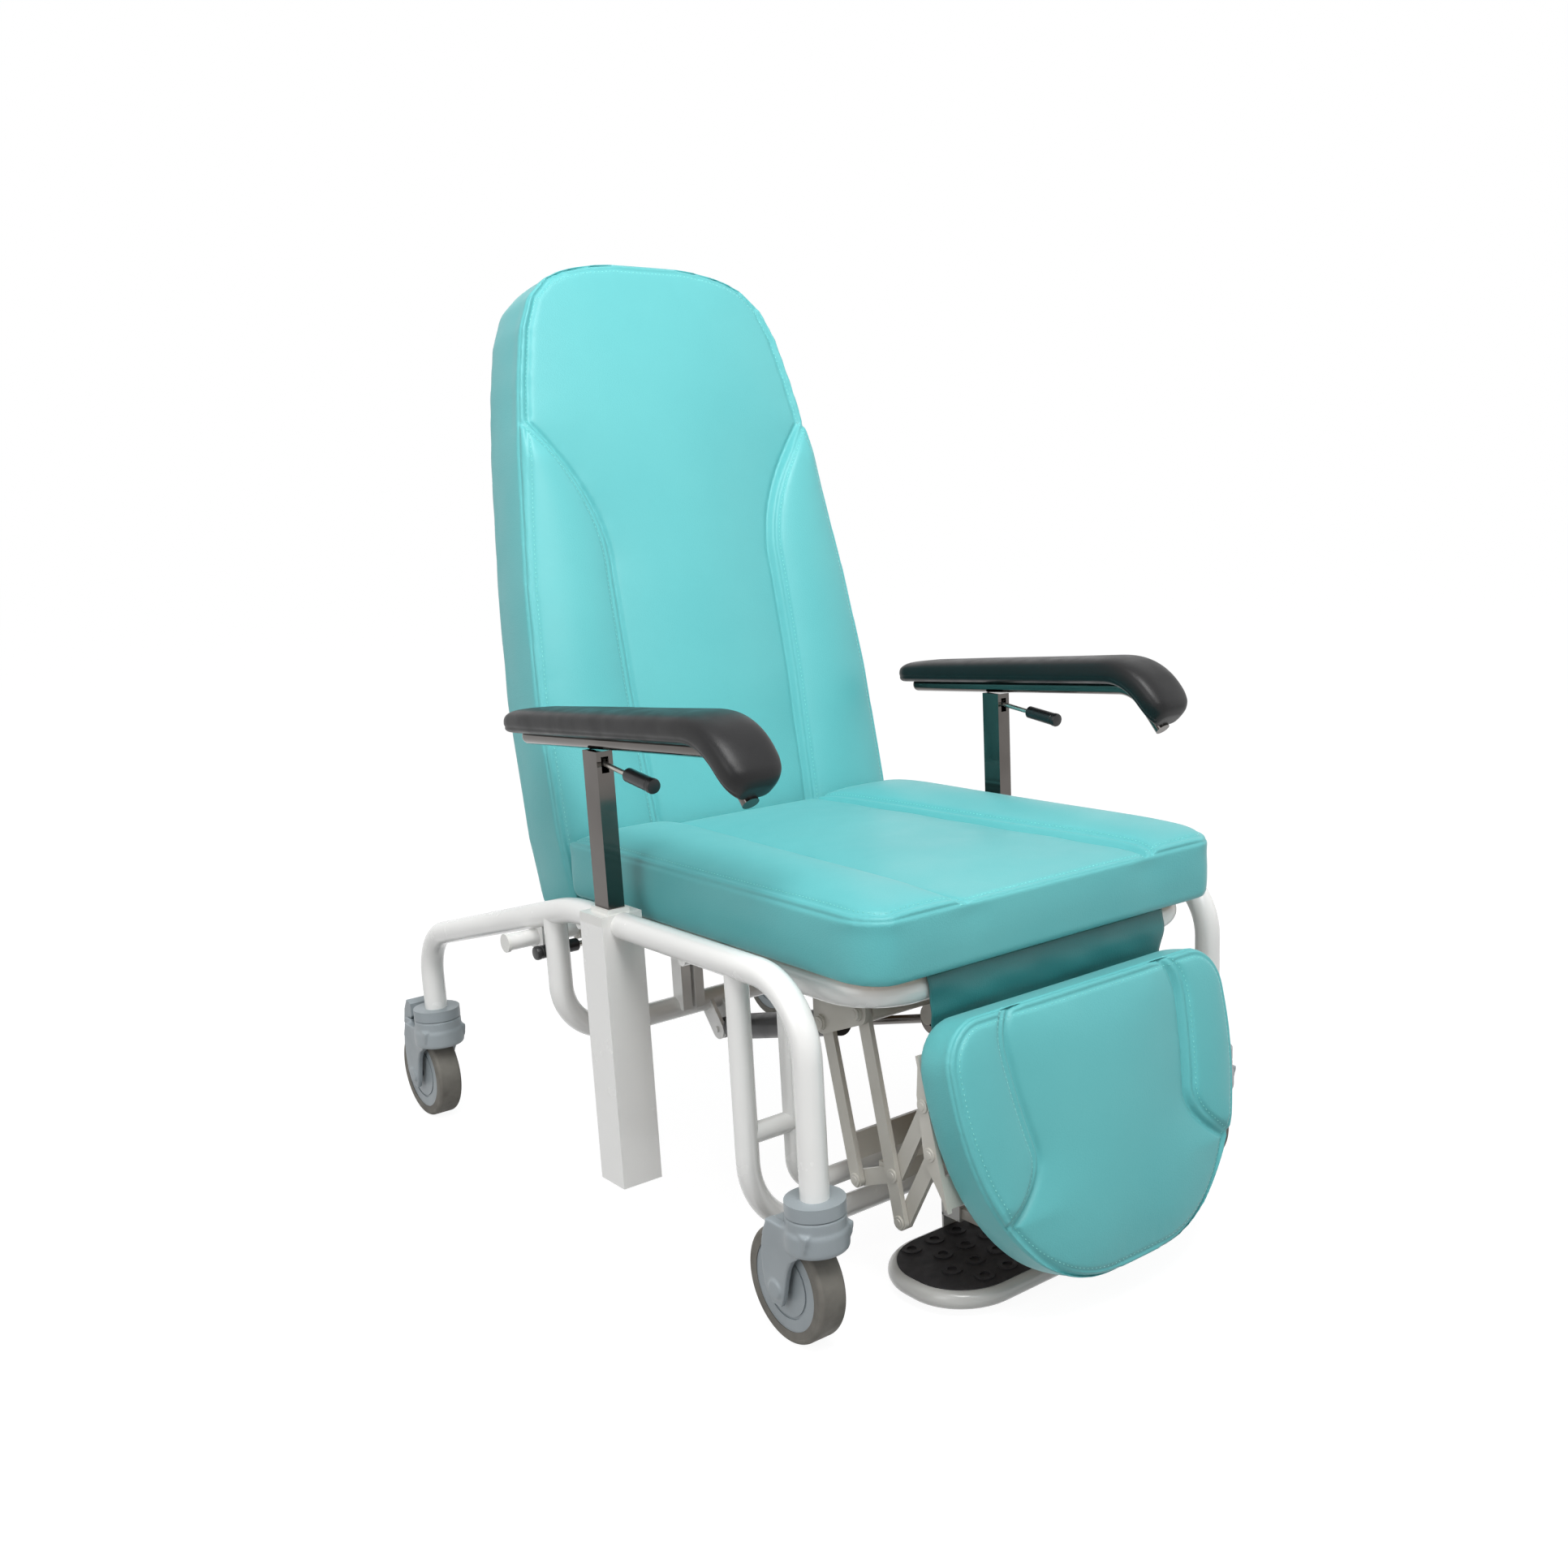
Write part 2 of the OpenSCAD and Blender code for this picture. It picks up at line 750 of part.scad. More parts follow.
// Bent levers on the middle pins of the arms, tied by a square bar
module bell_cranks() {
    place = arm_mid + tie_bar_place;
    color(beige_steel) {
        both_sides() yz_plate(link_x, link_t) difference() {
            union() {
                link_outline(arm_mid, rocker_tip, link_w);
                link_outline(arm_mid, reach_top, link_w);
            }
            bore_2d(arm_mid);
            bore_2d(rocker_tip);
            bore_2d(reach_top);
        }
        translate([-link_x, place[0] - tie_bar_w / 2, place[1] - tie_bar_w / 2])
            cube([2 * link_x, tie_bar_w, tie_bar_w]);
    }
}

module lower_links() {
    color(beige_steel) both_sides() yz_plate(link_x, link_t) difference() {
        link_outline(arm_tip, reach_low, link_w);
        bore_2d(arm_tip);
        bore_2d(reach_low);
    }
}

// Places the legrest panel: x across, y down along it from its top, z out of its face
module on_legrest() {
    translate([0, legrest_rear_y, legrest_top_z]) rotate([-legrest_lean, 0, 0])
        rotate([-90, 0, 0]) mirror([0, 0, 1]) children();
}

// Steel ribs on the legrest's back with the pins of the linkage, and the rails
// on which the foot plate runs
module legrest_frame() {
    root = [legrest_rear_y, legrest_top_z];
    down = [-sin(legrest_lean), -cos(legrest_lean)];
    back = [cos(legrest_lean), -sin(legrest_lean)];
    foot = (legrest_top_z - rail_z) / cos(legrest_lean);
    color(beige_steel) both_sides() {
        yz_plate(arm_x, link_t) {
            polygon([
                root + bracket_start * down,
                reach_top + [link_w / 2, link_w / 2],
                reach_low + [link_w / 2, -link_w / 2],
                root + bracket_end * down
            ]);
            translate(reach_top) circle(d = link_w);
            translate(reach_low) circle(d = link_w);
        }
        for (place = [reach_top, reach_low]) x_bar(place, pin_inner_x, arm_x, pin_d);
        for (foot = bracket_feet)
            on_legrest() translate([arm_x + link_t - bracket_foot_w, foot[0], -legrest_rib_t])
                cube([bracket_foot_w, foot[1], legrest_rib_t]);
    }
    color(chrome) both_sides() {
        translate([rail_x - rail_side / 2, rail_front_y, rail_z - rail_side / 2])
            cube([rail_side, rail_rear_y - rail_front_y, rail_side]);
        yz_plate(rail_x - legrest_rib_t / 2, legrest_rib_t) polygon([
            root + (foot - foot_strap) * down,
            root + (foot - foot_strap) * down + legrest_rib_t * back,
            [rail_front_y + legrest_rib_w, rail_z + rail_side / 2],
            [rail_front_y + legrest_rib_w, rail_z - rail_side / 2],
            [rail_front_y, rail_z - rail_side / 2],
            root + (foot - rail_side) * down
        ]);
    }
}

// The board follows the cushion's outline, a little inside it
module legrest_outline(inset) {
    edge = [for (v = legrest_rows) [legrest_half(v) - inset, inset + v * (legrest_len - 2 * inset)]];
    last = len(edge) - 1;
    polygon(concat(edge, [for (i = [0:last]) [-edge[last - i][0], edge[last - i][1]]]));
}

module legrest_board() {
    color(plywood) on_legrest()
        linear_extrude(legrest_board_t) legrest_outline(legrest_board_inset);
}

// A stuffed cushion: its sewn face is a grid that follows the outline, swells in lobes
// between the channels, and is drawn in at the sides before its flat back.
// half(v) is its half width, chan(v) the channel's share of it, and v runs from 0 to 1.
lobe_shares = [0, 0.35, 0.7, 0.92, 1];
side_shares = [0.12, 0.35, 0.65, 0.88, 1];
side_draw = 3;
function lobe(s) = 1 - pow(abs(s), 4);
function face_share(i, c) =
    i < len(lobe_shares) ? lobe_shares[i] * c : c + side_shares[i - len(lobe_shares)] * (1 - c);
function face_rise(i, c, mid, crown) =
    i < len(lobe_shares)
        ? mid * lobe(lobe_shares[i])
        : crown * lobe(2 * side_shares[i - len(lobe_shares)] - 1) * min(1, (1 - c) / 0.25);
function end_fall(v) = pow(1 - pow(abs(2 * v - 1), 8), 0.6);
face_cols = len(lobe_shares) + len(side_shares);
function face_row(v, y, w, c, mid, crown) = [
    for (k = [-(face_cols - 1):face_cols - 1])
        let (i = abs(k), s = face_share(i, c))
        [sign(k) * s * w, y, (k == 0 ? mid : face_rise(i, c, mid, crown)) * end_fall(v)]
];

module cushion(rows, length, depth, half, chan, mid, crown) {
    n = 2 * face_cols - 1;
    m = len(rows);
    face = [for (v = rows) each face_row(v, v * length, half(v), chan(v), mid, crown)];
    rim = concat(
        [for (k = [0:n - 1]) k],
        [for (j = [1:m - 1]) j * n + n - 1],
        [for (k = [1:n - 1]) (m - 1) * n + n - 1 - k],
        [for (j = [1:m - 2]) (m - 1 - j) * n]
    );
    rim_n = len(rim);
    centre = [0, length / 2];
    skirt_shares = [0.3, 0.7, 1];
    skirt = [
        for (s = skirt_shares, k = [0:rim_n - 1])
            let (p = face[rim[k]], q = [p[0], p[1]] - centre, pull = s < 1 ? side_draw : side_draw / 3)
            [
                centre[0] + q[0] * (1 - pull / max(norm(q), 1)),
                centre[1] + q[1] * (1 - pull / max(norm(q), 1)),
                -s * depth
            ]
    ];
    middle = [[0, length / 2, -depth]];
    base = n * m;
    polyhedron(
        points = concat(face, skirt, middle),
        faces = concat(
            [for (j = [0:m - 2], k = [0:n - 2]) [j * n + k, (j + 1) * n + k, (j + 1) * n + k + 1]],
            [for (j = [0:m - 2], k = [0:n - 2]) [j * n + k, (j + 1) * n + k + 1, j * n + k + 1]],
            [for (k = [0:rim_n - 1]) [rim[k], rim[(k + 1) % rim_n], base + (k + 1) % rim_n]],
            [for (k = [0:rim_n - 1]) [rim[k], base + (k + 1) % rim_n, base + k]],
            [
                for (s = [0:len(skirt_shares) - 2], k = [0:rim_n - 1])
                    [
                        base + s * rim_n + k,
                        base + s * rim_n + (k + 1) % rim_n,
                        base + (s + 1) * rim_n + (k + 1) % rim_n
                    ]
            ],
            [
                for (s = [0:len(skirt_shares) - 2], k = [0:rim_n - 1])
                    [
                        base + s * rim_n + k,
                        base + (s + 1) * rim_n + (k + 1) % rim_n,
                        base + (s + 1) * rim_n + k
                    ]
            ],
            [
                for (k = [0:rim_n - 1])
                    [
                        base + (len(skirt_shares) - 1) * rim_n + k,
                        base + (len(skirt_shares) - 1) * rim_n + (k + 1) % rim_n,
                        base + len(skirt_shares) * rim_n
                    ]
            ]
        )
    );
}

row_shares = [0, 0.02, 0.06, 0.12, 0.2, 0.3, 0.4, 0.5, 0.6, 0.7, 0.8, 0.88, 0.94, 0.98, 1];

// Seat cushion, drawn from the front edge to the rear one
seat_corner_share = 0.09;
seat_corner_draw = 0.14;
seat_chan_front_share = 0.55;
seat_chan_fall_share = 0.12;
function seat_half(v) =
    v < seat_corner_share
        ? seat_w / 2 * (1 - seat_corner_draw + seat_corner_draw * sqrt(1 - pow(1 - v / seat_corner_share, 2)))
        : seat_w / 2;
function seat_chan(v) = seat_chan_front_share - seat_chan_fall_share * v;

module seat_cushion() {
    depth = seat_seam_z - seat_base_z - seat_board_t - seat_gap;
    color(vinyl) translate([0, seat_front_y, seat_seam_z])
        cushion(row_shares, seat_rear_y - seat_front_y, depth,
            function(v) seat_half(v), function(v) seat_chan(v), seat_crown / 3, seat_crown);
}

// Vinyl flap that hangs from the seat's front edge down to the legrest
module front_flap() {
    w = 2 * (seat_tube_x - seat_tube_r);
    y = seat_tube_front_y - seat_tube_d / 2 - flap_t - seat_gap;
    low = legrest_top_z + flap_lift;
    color(vinyl) translate([-w / 2, y, low]) cube([w, flap_t, seat_base_z - low - seat_gap]);
}

// Places the backrest: x across, y up along it from the axle, z out of its face
module on_back() {
    translate([0, axle_y, axle_z]) rotate([-back_lean, 0, 0]) rotate([90, 0, 0]) children();
}

// Half width of the back along its length, as shares of the widest place
back_shares = [
    [0, 0.975], [0.11, 1], [0.32, 0.99], [0.49, 0.945], [0.7, 0.86], [0.81, 0.8],
    [0.89, 0.74], [0.94, 0.67], [0.97, 0.57], [0.985, 0.47], [0.995, 0.34], [1, 0.2]
];
function back_half(v) = back_w / 2 * lookup(v, back_shares);
chan_max_share = 0.94;
back_chan_low_share = 0.44;
back_chan_rise_share = 0.12;
back_flare_share = 0.5;
back_flare_start_share = 0.52;
back_flare_len_share = 0.25;
function flare(v, start, len) = pow(max(0, (v - start) / len), 2);
function back_chan(v) = min(
    chan_max_share,
    back_chan_low_share + back_chan_rise_share * v
        + back_flare_share * flare(v, back_flare_start_share, back_flare_len_share)
);
back_rows = [
    0, 0.015, 0.05, 0.12, 0.24, 0.36, 0.48, 0.57, 0.64, 0.7, 0.76, 0.82, 0.88, 0.93, 0.965, 0.985, 0.995, 1
];

module back_outline(inset) {
    length = back_len - 2 * inset;
    shares = [for (v = back_rows) v];
    polygon(concat(
        [for (v = shares) [back_half(v) - inset, inset + v * length]],
        [for (i = [len(shares) - 1:-1:0]) [-back_half(shares[i]) + inset, inset + shares[i] * length]]
    ));
}

module back_cushion() {
    color(vinyl) on_back() translate([0, back_start, -back_seam_y])
        cushion(back_rows, back_len, cushion_depth,
            function(v) back_half(v), function(v) back_chan(v), back_crown, back_crown * 0.8);
}

back_board_z = -back_seam_y - cushion_depth - seat_gap - back_board_t;
back_shell_z = back_board_z - back_shell_t;

module back_board() {
    color(plywood) on_back() translate([0, back_start, back_board_z])
        linear_extrude(back_board_t) back_outline(back_board_inset);
}

module back_rail_shape(gap) {
    z = back_board_z - back_rail_t - gap;
    t = back_rail_t + gap;
    for (side = [-1, 1])
        translate([side * back_rail_x - back_rail_w / 2 - gap, -back_foot_h / 2, z - gap])
            cube([back_rail_w + 2 * gap, back_rail_len + back_foot_h / 2 + gap, t + gap]);
    for (share = back_bar_shares)
        translate([-back_rail_x, share * back_rail_len - back_rail_w / 2 - gap, z - gap])
            cube([2 * back_rail_x, back_rail_w + 2 * gap, t + gap]);
}

// Upholstered rear pan over the back's frame
module back_shell() {
    color(vinyl) on_back() difference() {
        translate([0, back_start, back_shell_z]) linear_extrude(back_shell_t - seat_gap)
            back_outline(back_shell_inset);
        back_rail_shape(pocket_gap);
    }
}

// Hub tube on the axle, the rails up the back, and the lever of the gas spring
module back_frame() {
    gap = spring_eye_t / 2 + face_gap;
    foot_z = back_board_z - back_rail_t;
    color(beige_steel) {
        difference() {
            union() {
                x_bar([axle_y, axle_z], -hub_half_len, hub_half_len, hub_d);
                on_back() {
                    back_rail_shape(0);
                    for (side = [-1, 1])
                        translate([side * back_rail_x - back_rail_w / 2, -back_foot_h / 2, foot_z])
                            cube([back_rail_w, back_foot_h, -foot_z]);
                }
                for (side = [-1, 1])
                    yz_plate(side > 0 ? back_spring_x + gap : back_spring_x - gap - lug_t, lug_t)
                        link_outline([axle_y, axle_z], back_pin, link_w);
                x_bar(back_pin, back_spring_x - gap, back_spring_x + gap, spring_pin_d);
            }
            x_bar([axle_y, axle_z], -hub_half_len - overrun, hub_half_len + overrun, axle_d + 2 * run_gap);
        }
    }
}

// A barrel with its eye at one place, aimed at another
module spring_barrel(x, from, to, d, barrel_len, rod_d) {
    slope = heading(from, to);
    neck = spring_eye_d / 2 + spring_pin_d;
    translate([x, from[0], from[1]]) difference() {
        union() {
            translate([-spring_eye_t / 2, 0, 0]) rotate([0, 90, 0]) cylinder(d = spring_eye_d, h = spring_eye_t);
            rotate([slope, 0, 0]) {
                translate([-spring_neck / 2, 0, -spring_neck / 2]) cube([spring_neck, neck + overrun, spring_neck]);
                translate([0, neck, 0]) rotate([-90, 0, 0]) cylinder(d = d, h = barrel_len);
            }
        }
        translate([-spring_eye_t, 0, 0]) rotate([0, 90, 0])
            cylinder(d = spring_pin_d + 2 * run_gap, h = 2 * spring_eye_t);
        rotate([slope, 0, 0]) translate([0, 2 * neck, 0]) rotate([-90, 0, 0])
            cylinder(d = rod_d + 2 * run_gap, h = barrel_len);
    }
}

// A rod with a slotted eye; the eye's bore leaves the pin its play
module spring_rod(x, from, to, barrel_len, rod_d, play) {
    slope = heading(from, to);
    reach = norm(to - from);
    neck = spring_eye_d / 2 + spring_pin_d;
    bore = spring_pin_d + 2 * play;
    ring = bore + 2 * spring_neck;
    inside = barrel_len / 2;
    translate([x, from[0], from[1]]) rotate([slope, 0, 0]) difference() {
        union() {
            translate([0, neck + barrel_len - inside, 0]) rotate([-90, 0, 0])
                cylinder(d = rod_d, h = reach - neck - barrel_len + inside - bore / 2);
            translate([-spring_eye_t / 2, reach, 0]) rotate([0, 90, 0]) cylinder(d = ring, h = spring_eye_t);
        }
        translate([-spring_eye_t, reach, 0]) rotate([0, 90, 0]) cylinder(d = bore, h = 2 * spring_eye_t);
    }
}

module leg_spring_cylinder() {
    color(grey_plastic) spring_barrel(leg_spring_x, leg_lug, leg_eye, leg_spring_d, leg_barrel_len, leg_rod_d);
}

module leg_spring_rod() {
    color(chrome) spring_rod(leg_spring_x, leg_lug, leg_eye, leg_barrel_len, leg_rod_d, leg_slot_play);
}

module back_spring_cylinder() {
    color(grey_plastic)
        spring_barrel(back_spring_x, back_lug, back_eye, back_spring_d, back_barrel_len, leg_rod_d);
}

module back_spring_rod() {
    color(chrome) spring_rod(back_spring_x, back_lug, back_eye, back_barrel_len, leg_rod_d, back_slot_play);
}

legrest_corner_share = 0.17;
legrest_corner_draw = 0.23;
legrest_taper_share = 0.2;
legrest_taper_power = 2.2;
legrest_tip_share = 0.18;
legrest_chan_top_share = 0.64;
legrest_chan_fall_share = 0.14;
legrest_flare_share = 0.6;
legrest_flare_start_share = 0.48;
legrest_flare_len_share = 0.28;
legrest_mid_crown_share = 0.8;
legrest_side_crown_share = 0.7;
function legrest_half(v) =
    v < legrest_taper_share
        ? legrest_w / 2 * (v < legrest_corner_share ? top_corner(v / legrest_corner_share) : 1)
        : legrest_w / 2 * (legrest_tip_share + (1 - legrest_tip_share) * foot_curve(v));
function top_corner(u) = 1 - legrest_corner_draw + legrest_corner_draw * sqrt(1 - pow(1 - u, 2));
function foot_curve(v) =
    sqrt(1 - pow((v - legrest_taper_share) / (1 - legrest_taper_share), legrest_taper_power));
function legrest_chan(v) = min(
    chan_max_share,
    legrest_chan_top_share - legrest_chan_fall_share * v
        + legrest_flare_share * flare(v, legrest_flare_start_share, legrest_flare_len_share)
);
legrest_rows = [
    0, 0.01, 0.03, 0.07, 0.12, 0.17, 0.27, 0.37, 0.48, 0.56, 0.64, 0.72, 0.8, 0.87, 0.925, 0.965, 0.99, 1
];

module legrest_cushion() {
    seam = legrest_board_t + seat_gap + legrest_depth;
    color(vinyl) on_legrest() translate([0, 0, seam])
        cushion(legrest_rows, legrest_len, legrest_depth,
            function(v) legrest_half(v), function(v) legrest_chan(v),
            legrest_crown * legrest_mid_crown_share, legrest_crown * legrest_side_crown_share);
}

module plate_outline(inset) {
    r = plate_corner_r - inset;
    w = plate_w - 2 * inset;
    depth = plate_depth - 2 * inset;
    translate([0, plate_rear_y - inset - depth]) {
        translate([-w / 2, r]) square([w, depth - 2 * r]);
        translate([-w / 2 + r, 0]) square([w - 2 * r, depth]);
        for (side = [-1, 1], place = [r, depth - r])
            translate([side * (w / 2 - r), place]) circle(r = r);
    }
}

// Foot plate with the collars that run on the legrest's rails
module foot_plate() {
    collar_side = rail_side + 2 * collar_gap + 2 * collar_t;
    upright_z = plate_z + plate_thick;
    color(pale_gloss) {
        translate([0, 0, plate_z]) linear_extrude(plate_thick) plate_outline(0);
        both_sides() {
            difference() {
                translate([rail_x - collar_side / 2, collar_rear_y - collar_len, rail_z - collar_side / 2])
                    cube([collar_side, collar_len, collar_side]);
                translate([
                    rail_x - rail_side / 2 - collar_gap,
                    collar_rear_y - collar_len - overrun,
                    rail_z - rail_side / 2 - collar_gap
                ])
                    cube([rail_side + 2 * collar_gap, collar_len + 2 * overrun, rail_side + 2 * collar_gap]);
            }
            translate([rail_x - collar_side / 2, collar_rear_y - collar_t, upright_z])
                cube([collar_side, collar_t, rail_z - rail_side / 2 - collar_gap - upright_z]);
        }
    }
}

// Ribbed rubber mat with rings in offset rows
module foot_mat() {
    rows = floor((plate_depth - 2 * mat_inset) / stud_pitch);
    cols = floor((plate_w / 2 - mat_inset) / stud_pitch);
    top = plate_z + plate_thick + mat_t;
    color(dark_rubber) {
        translate([0, 0, plate_z + plate_thick]) linear_extrude(mat_t) plate_outline(mat_inset);
        for (j = [0:rows - 1], i = [-cols + 1:cols - 1]) {
            x = (i + (j % 2) / 2) * stud_pitch;
            y = plate_rear_y - mat_inset - (j + 1 / 2) * stud_pitch;
            if (abs(x) < plate_w / 2 - mat_inset - stud_d * 3 / 2)
                translate([x, y, top]) linear_extrude(stud_t) difference() {
                    circle(d = stud_d);
                    circle(d = stud_hole_d);
                }
        }
    }
}

// Chrome post of an armrest with the slider that guides it inside the sleeve
module arm_post(side) {
    slider = sleeve_w - 2 * sleeve_wall - 2 * collar_gap;
    color(chrome) translate([side * side_x, sleeve_y, 0]) {
        difference() {
            translate([-post_width / 2, -post_depth / 2, post_bottom_z])
                cube([post_width, post_depth, post_len]);
            translate([-post_width / 2 + post_wall, -post_depth / 2 + post_wall, post_bottom_z - overrun])
                cube([post_width - 2 * post_wall, post_depth - 2 * post_wall, post_len - lever_top_wall]);
            lever_window();
        }
        difference() {
            translate([-slider / 2, -slider / 2, post_bottom_z]) cube([slider, slider, slider_h]);
            translate([-post_width / 2, -post_depth / 2, post_bottom_z - overrun])
                cube([post_width, post_depth, slider_h + 2 * overrun]);
        }
    }
}

module arm_post_right() { arm_post(-1); }
module arm_post_left() { arm_post(1); }

lever_place = [0, post_top_z - 2 * lever_top_wall];

// Slot in the front wall of the post that the lever comes out of
module lever_window() {
    w = lever_rod_d + 2 * window_gap;
    translate([-w / 2, -post_depth, lever_place[1] - 2 * lever_rod_d])
        cube([w, post_depth, 2 * lever_rod_d + lever_top_wall]);
}

// Centre line of the arm carrier in Y and Z, from its rear end to its nose
carrier_z0 = post_top_z + run_gap + carrier_d / 2 / cos(arm_rise) + post_depth / 2 * tan(arm_rise);
function carrier_height(y) = carrier_z0 - (y - sleeve_y) * tan(arm_rise);
nose_cut = carrier_bend_r * tan(nose_bend / 2);
carrier_corner = [carrier_bend_y - nose_cut, carrier_height(carrier_bend_y - nose_cut)];
nose_angle = 180 - arm_rise + nose_bend;
carrier_path = [
    [carrier_rear_y, carrier_height(carrier_rear_y)],
    carrier_corner,
    carrier_corner + (nose_cut + carrier_tail) * [cos(nose_angle), sin(nose_angle)]
];

module arm_carrier(side) {
    color(chrome) translate([side * side_x, 0, 0]) {
        in_yz() bent_tube(carrier_path, [0, carrier_bend_r, 0], carrier_d, carrier_wall);
        translate([0, carrier_path[0][0], carrier_path[0][1]]) rotate([-arm_rise, 0, 0]) difference() {
            sphere(d = carrier_d);
            translate([-carrier_d, -2 * carrier_d, -carrier_d]) cube(2 * carrier_d);
        }
    }
}

module arm_carrier_right() { arm_carrier(-1); }
module arm_carrier_left() { arm_carrier(1); }

// Half of the pad's section, for its rounded ends
module pad_half_section() {
    intersection() {
        translate([-pad_w / 2, 0]) round_rect(pad_w, pad_t, pad_round);
        square([pad_w, pad_t]);
    }
}

// Foam arm pad that follows the carrier and curves down over its nose
module arm_pad(side) {
    lift = carrier_d / 2 + seat_gap;
    start = [pad_rear_y, carrier_height(pad_rear_y)];
    run = (pad_rear_y - carrier_bend_y) / cos(arm_rise);
    plug_at = carrier_path[2];
    color(black_foam) translate([side * side_x, 0, 0]) {
        translate([0, start[0], start[1]]) rotate([-arm_rise, 0, 0]) {
            translate([0, 0, lift]) {
                rotate([90, 0, 0]) linear_extrude(run)
                    translate([-pad_w / 2, 0]) round_rect(pad_w, pad_t, pad_round);
                rotate_extrude(angle = 180) pad_half_section();
            }
            translate([0, -run, -carrier_bend_r]) rotate([0, 90, 0]) rotate([0, 0, 180]) nose_sweep(lift);
        }
        translate([0, plug_at[0], plug_at[1]]) rotate([nose_angle, 0, 0]) rotate([-90, 0, 0])
            cylinder(d = carrier_d, h = plug_t);
    }
}

// The pad's bent front end and its rounded tip, turned about the carrier's bend
module nose_sweep(lift) {
    r = carrier_bend_r + lift;
    lap = atan2(pad_lap, r);
    rotate([0, 0, -lap]) rotate_extrude(angle = nose_bend + 2 * lap)
        translate([r + pad_t - pad_step, -pad_w / 2 + pad_step]) rotate(90)
        round_rect(pad_w - 2 * pad_step, pad_t - 2 * pad_step, pad_round);
    rotate([0, 0, nose_bend]) translate([r, 0, 0]) rotate([0, 90, 0])
        rotate_extrude(angle = 180) pad_half_section();
}

module arm_pad_right() { arm_pad(-1); }
module arm_pad_left() { arm_pad(1); }

// Release lever of an armrest: a rod out of the post's slot with a plastic grip
module arm_lever(side) {
    inner = post_width - 2 * post_wall - 2 * face_gap;
    color(black_foam) translate([side * side_x, sleeve_y, lever_place[1]]) {
        rotate([0, 90, 0]) translate([0, 0, -inner / 2]) cylinder(d = lever_boss_d, h = inner);
        rotate([lever_fall, 0, 0]) rotate([90, 0, 0]) {
            cylinder(d = lever_rod_d, h = lever_rod_len);
            translate([0, 0, lever_rod_len - overrun]) cylinder(d = lever_grip_d, h = lever_grip_len);
        }
    }
}

module arm_lever_right() { arm_lever(-1); }
module arm_lever_left() { arm_lever(1); }

module at_caster(side, end) {
    translate([side * side_x, end * caster_y, 0]) children();
}

// Caster top rings, the plugs inside the frame tubes and the swivel pins
module caster_stems() {
    color(grey_plastic) for (side = [-1, 1], end = [-1, 1]) at_caster(side, end)
        translate([0, 0, caster_h - cap_ring_t]) {
            cylinder(d = cap_ring_d, h = cap_ring_t);
            cylinder(d = frame_tube_d - 2 * tube_wall - 2 * run_gap, h = stem_plug_len);
            translate([0, 0, -stem_pin_len]) cylinder(d = stem_pin_d, h = stem_pin_len);
        }
}

// Fork housing with its two cheeks and the wheel's axle
module fork(side, end) {
    top = caster_h - cap_ring_t - face_gap;
    base = top - fork_head_h;
    axle = [trail, wheel_d / 2];
    rear = end > 0 ? 1 : 0;
    color(grey_plastic) at_caster(side, end) {
        difference() {
            union() {
                translate([0, 0, base]) cylinder(d = fork_head_d, h = fork_head_h);
                translate([0, 0, base]) cylinder(d = fork_skirt_d, h = fork_skirt_h);
                translate([-fork_w / 2, 0, base]) cube([fork_w, hood_rear, fork_skirt_h]);
            }
            translate([0, 0, top - stem_pin_len - overrun])
                cylinder(d = stem_pin_d + 2 * run_gap, h = stem_pin_len + 2 * overrun);
            x_bar(axle, -tyre_w / 2 - fork_clearance, tyre_w / 2 + fork_clearance,
                wheel_d + 2 * fork_clearance);
        }
        for (x = [-fork_w / 2, fork_w / 2 - cheek_t]) yz_plate(x, cheek_t) {
            polygon([
                [hood_front, base + fork_skirt_h / 2],
                [hood_rear, base + fork_skirt_h / 2],
                axle + [cheek_r, 0],
                axle - [cheek_r, 0]
            ]);
            translate(axle) circle(r = cheek_r);
        }
        x_bar(axle, -fork_w / 2, fork_w / 2, hub_axle_d);
        if (rear) for (x = [-pedal_w / 2 - pedal_ear_t - face_gap, pedal_w / 2 + face_gap]) difference() {
            yz_plate(x, pedal_ear_t) link_outline(pedal_pivot, pedal_pivot - [pedal_boss_d, 0], pedal_boss_d);
            x_bar(pedal_pivot, x - overrun, x + pedal_ear_t + overrun, pedal_pin_d + 2 * run_gap);
        }
    }
}

module fork_front_right() { fork(-1, -1); }
module fork_front_left() { fork(1, -1); }
module fork_rear_right() { fork(-1, 1); }
module fork_rear_left() { fork(1, 1); }

module wheel(side, end) {
    color(grey_plastic) at_caster(side, end) translate([0, trail, wheel_d / 2]) rotate([0, 90, 0])
        difference() {
            translate([0, 0, -rim_w / 2]) cylinder(d = rim_d, h = rim_w);
            translate([0, 0, -rim_w]) cylinder(d = hub_axle_d + 2 * run_gap, h = 2 * rim_w);
            for (z = [-rim_w / 2 - overrun, rim_w / 2 - rim_groove_depth])
                translate([0, 0, z]) linear_extrude(rim_groove_depth + overrun)
                    tube_section(rim_groove_d, rim_groove_w);
        }
}

module wheel_front_right() { wheel(-1, -1); }
module wheel_front_left() { wheel(1, -1); }
module wheel_rear_right() { wheel(-1, 1); }
module wheel_rear_left() { wheel(1, 1); }

module tyre(side, end) {
    thick = (wheel_d - rim_d) / 2;
    color(dark_rubber) at_caster(side, end) translate([0, trail, wheel_d / 2]) rotate([0, 90, 0])
        rotate_extrude() translate([rim_d / 2, -tyre_w / 2]) {
            square([thick / 2, tyre_w]);
            translate([thick / 4, 0]) round_rect(thick * 3 / 4, tyre_w, thick / 3);
        }
}

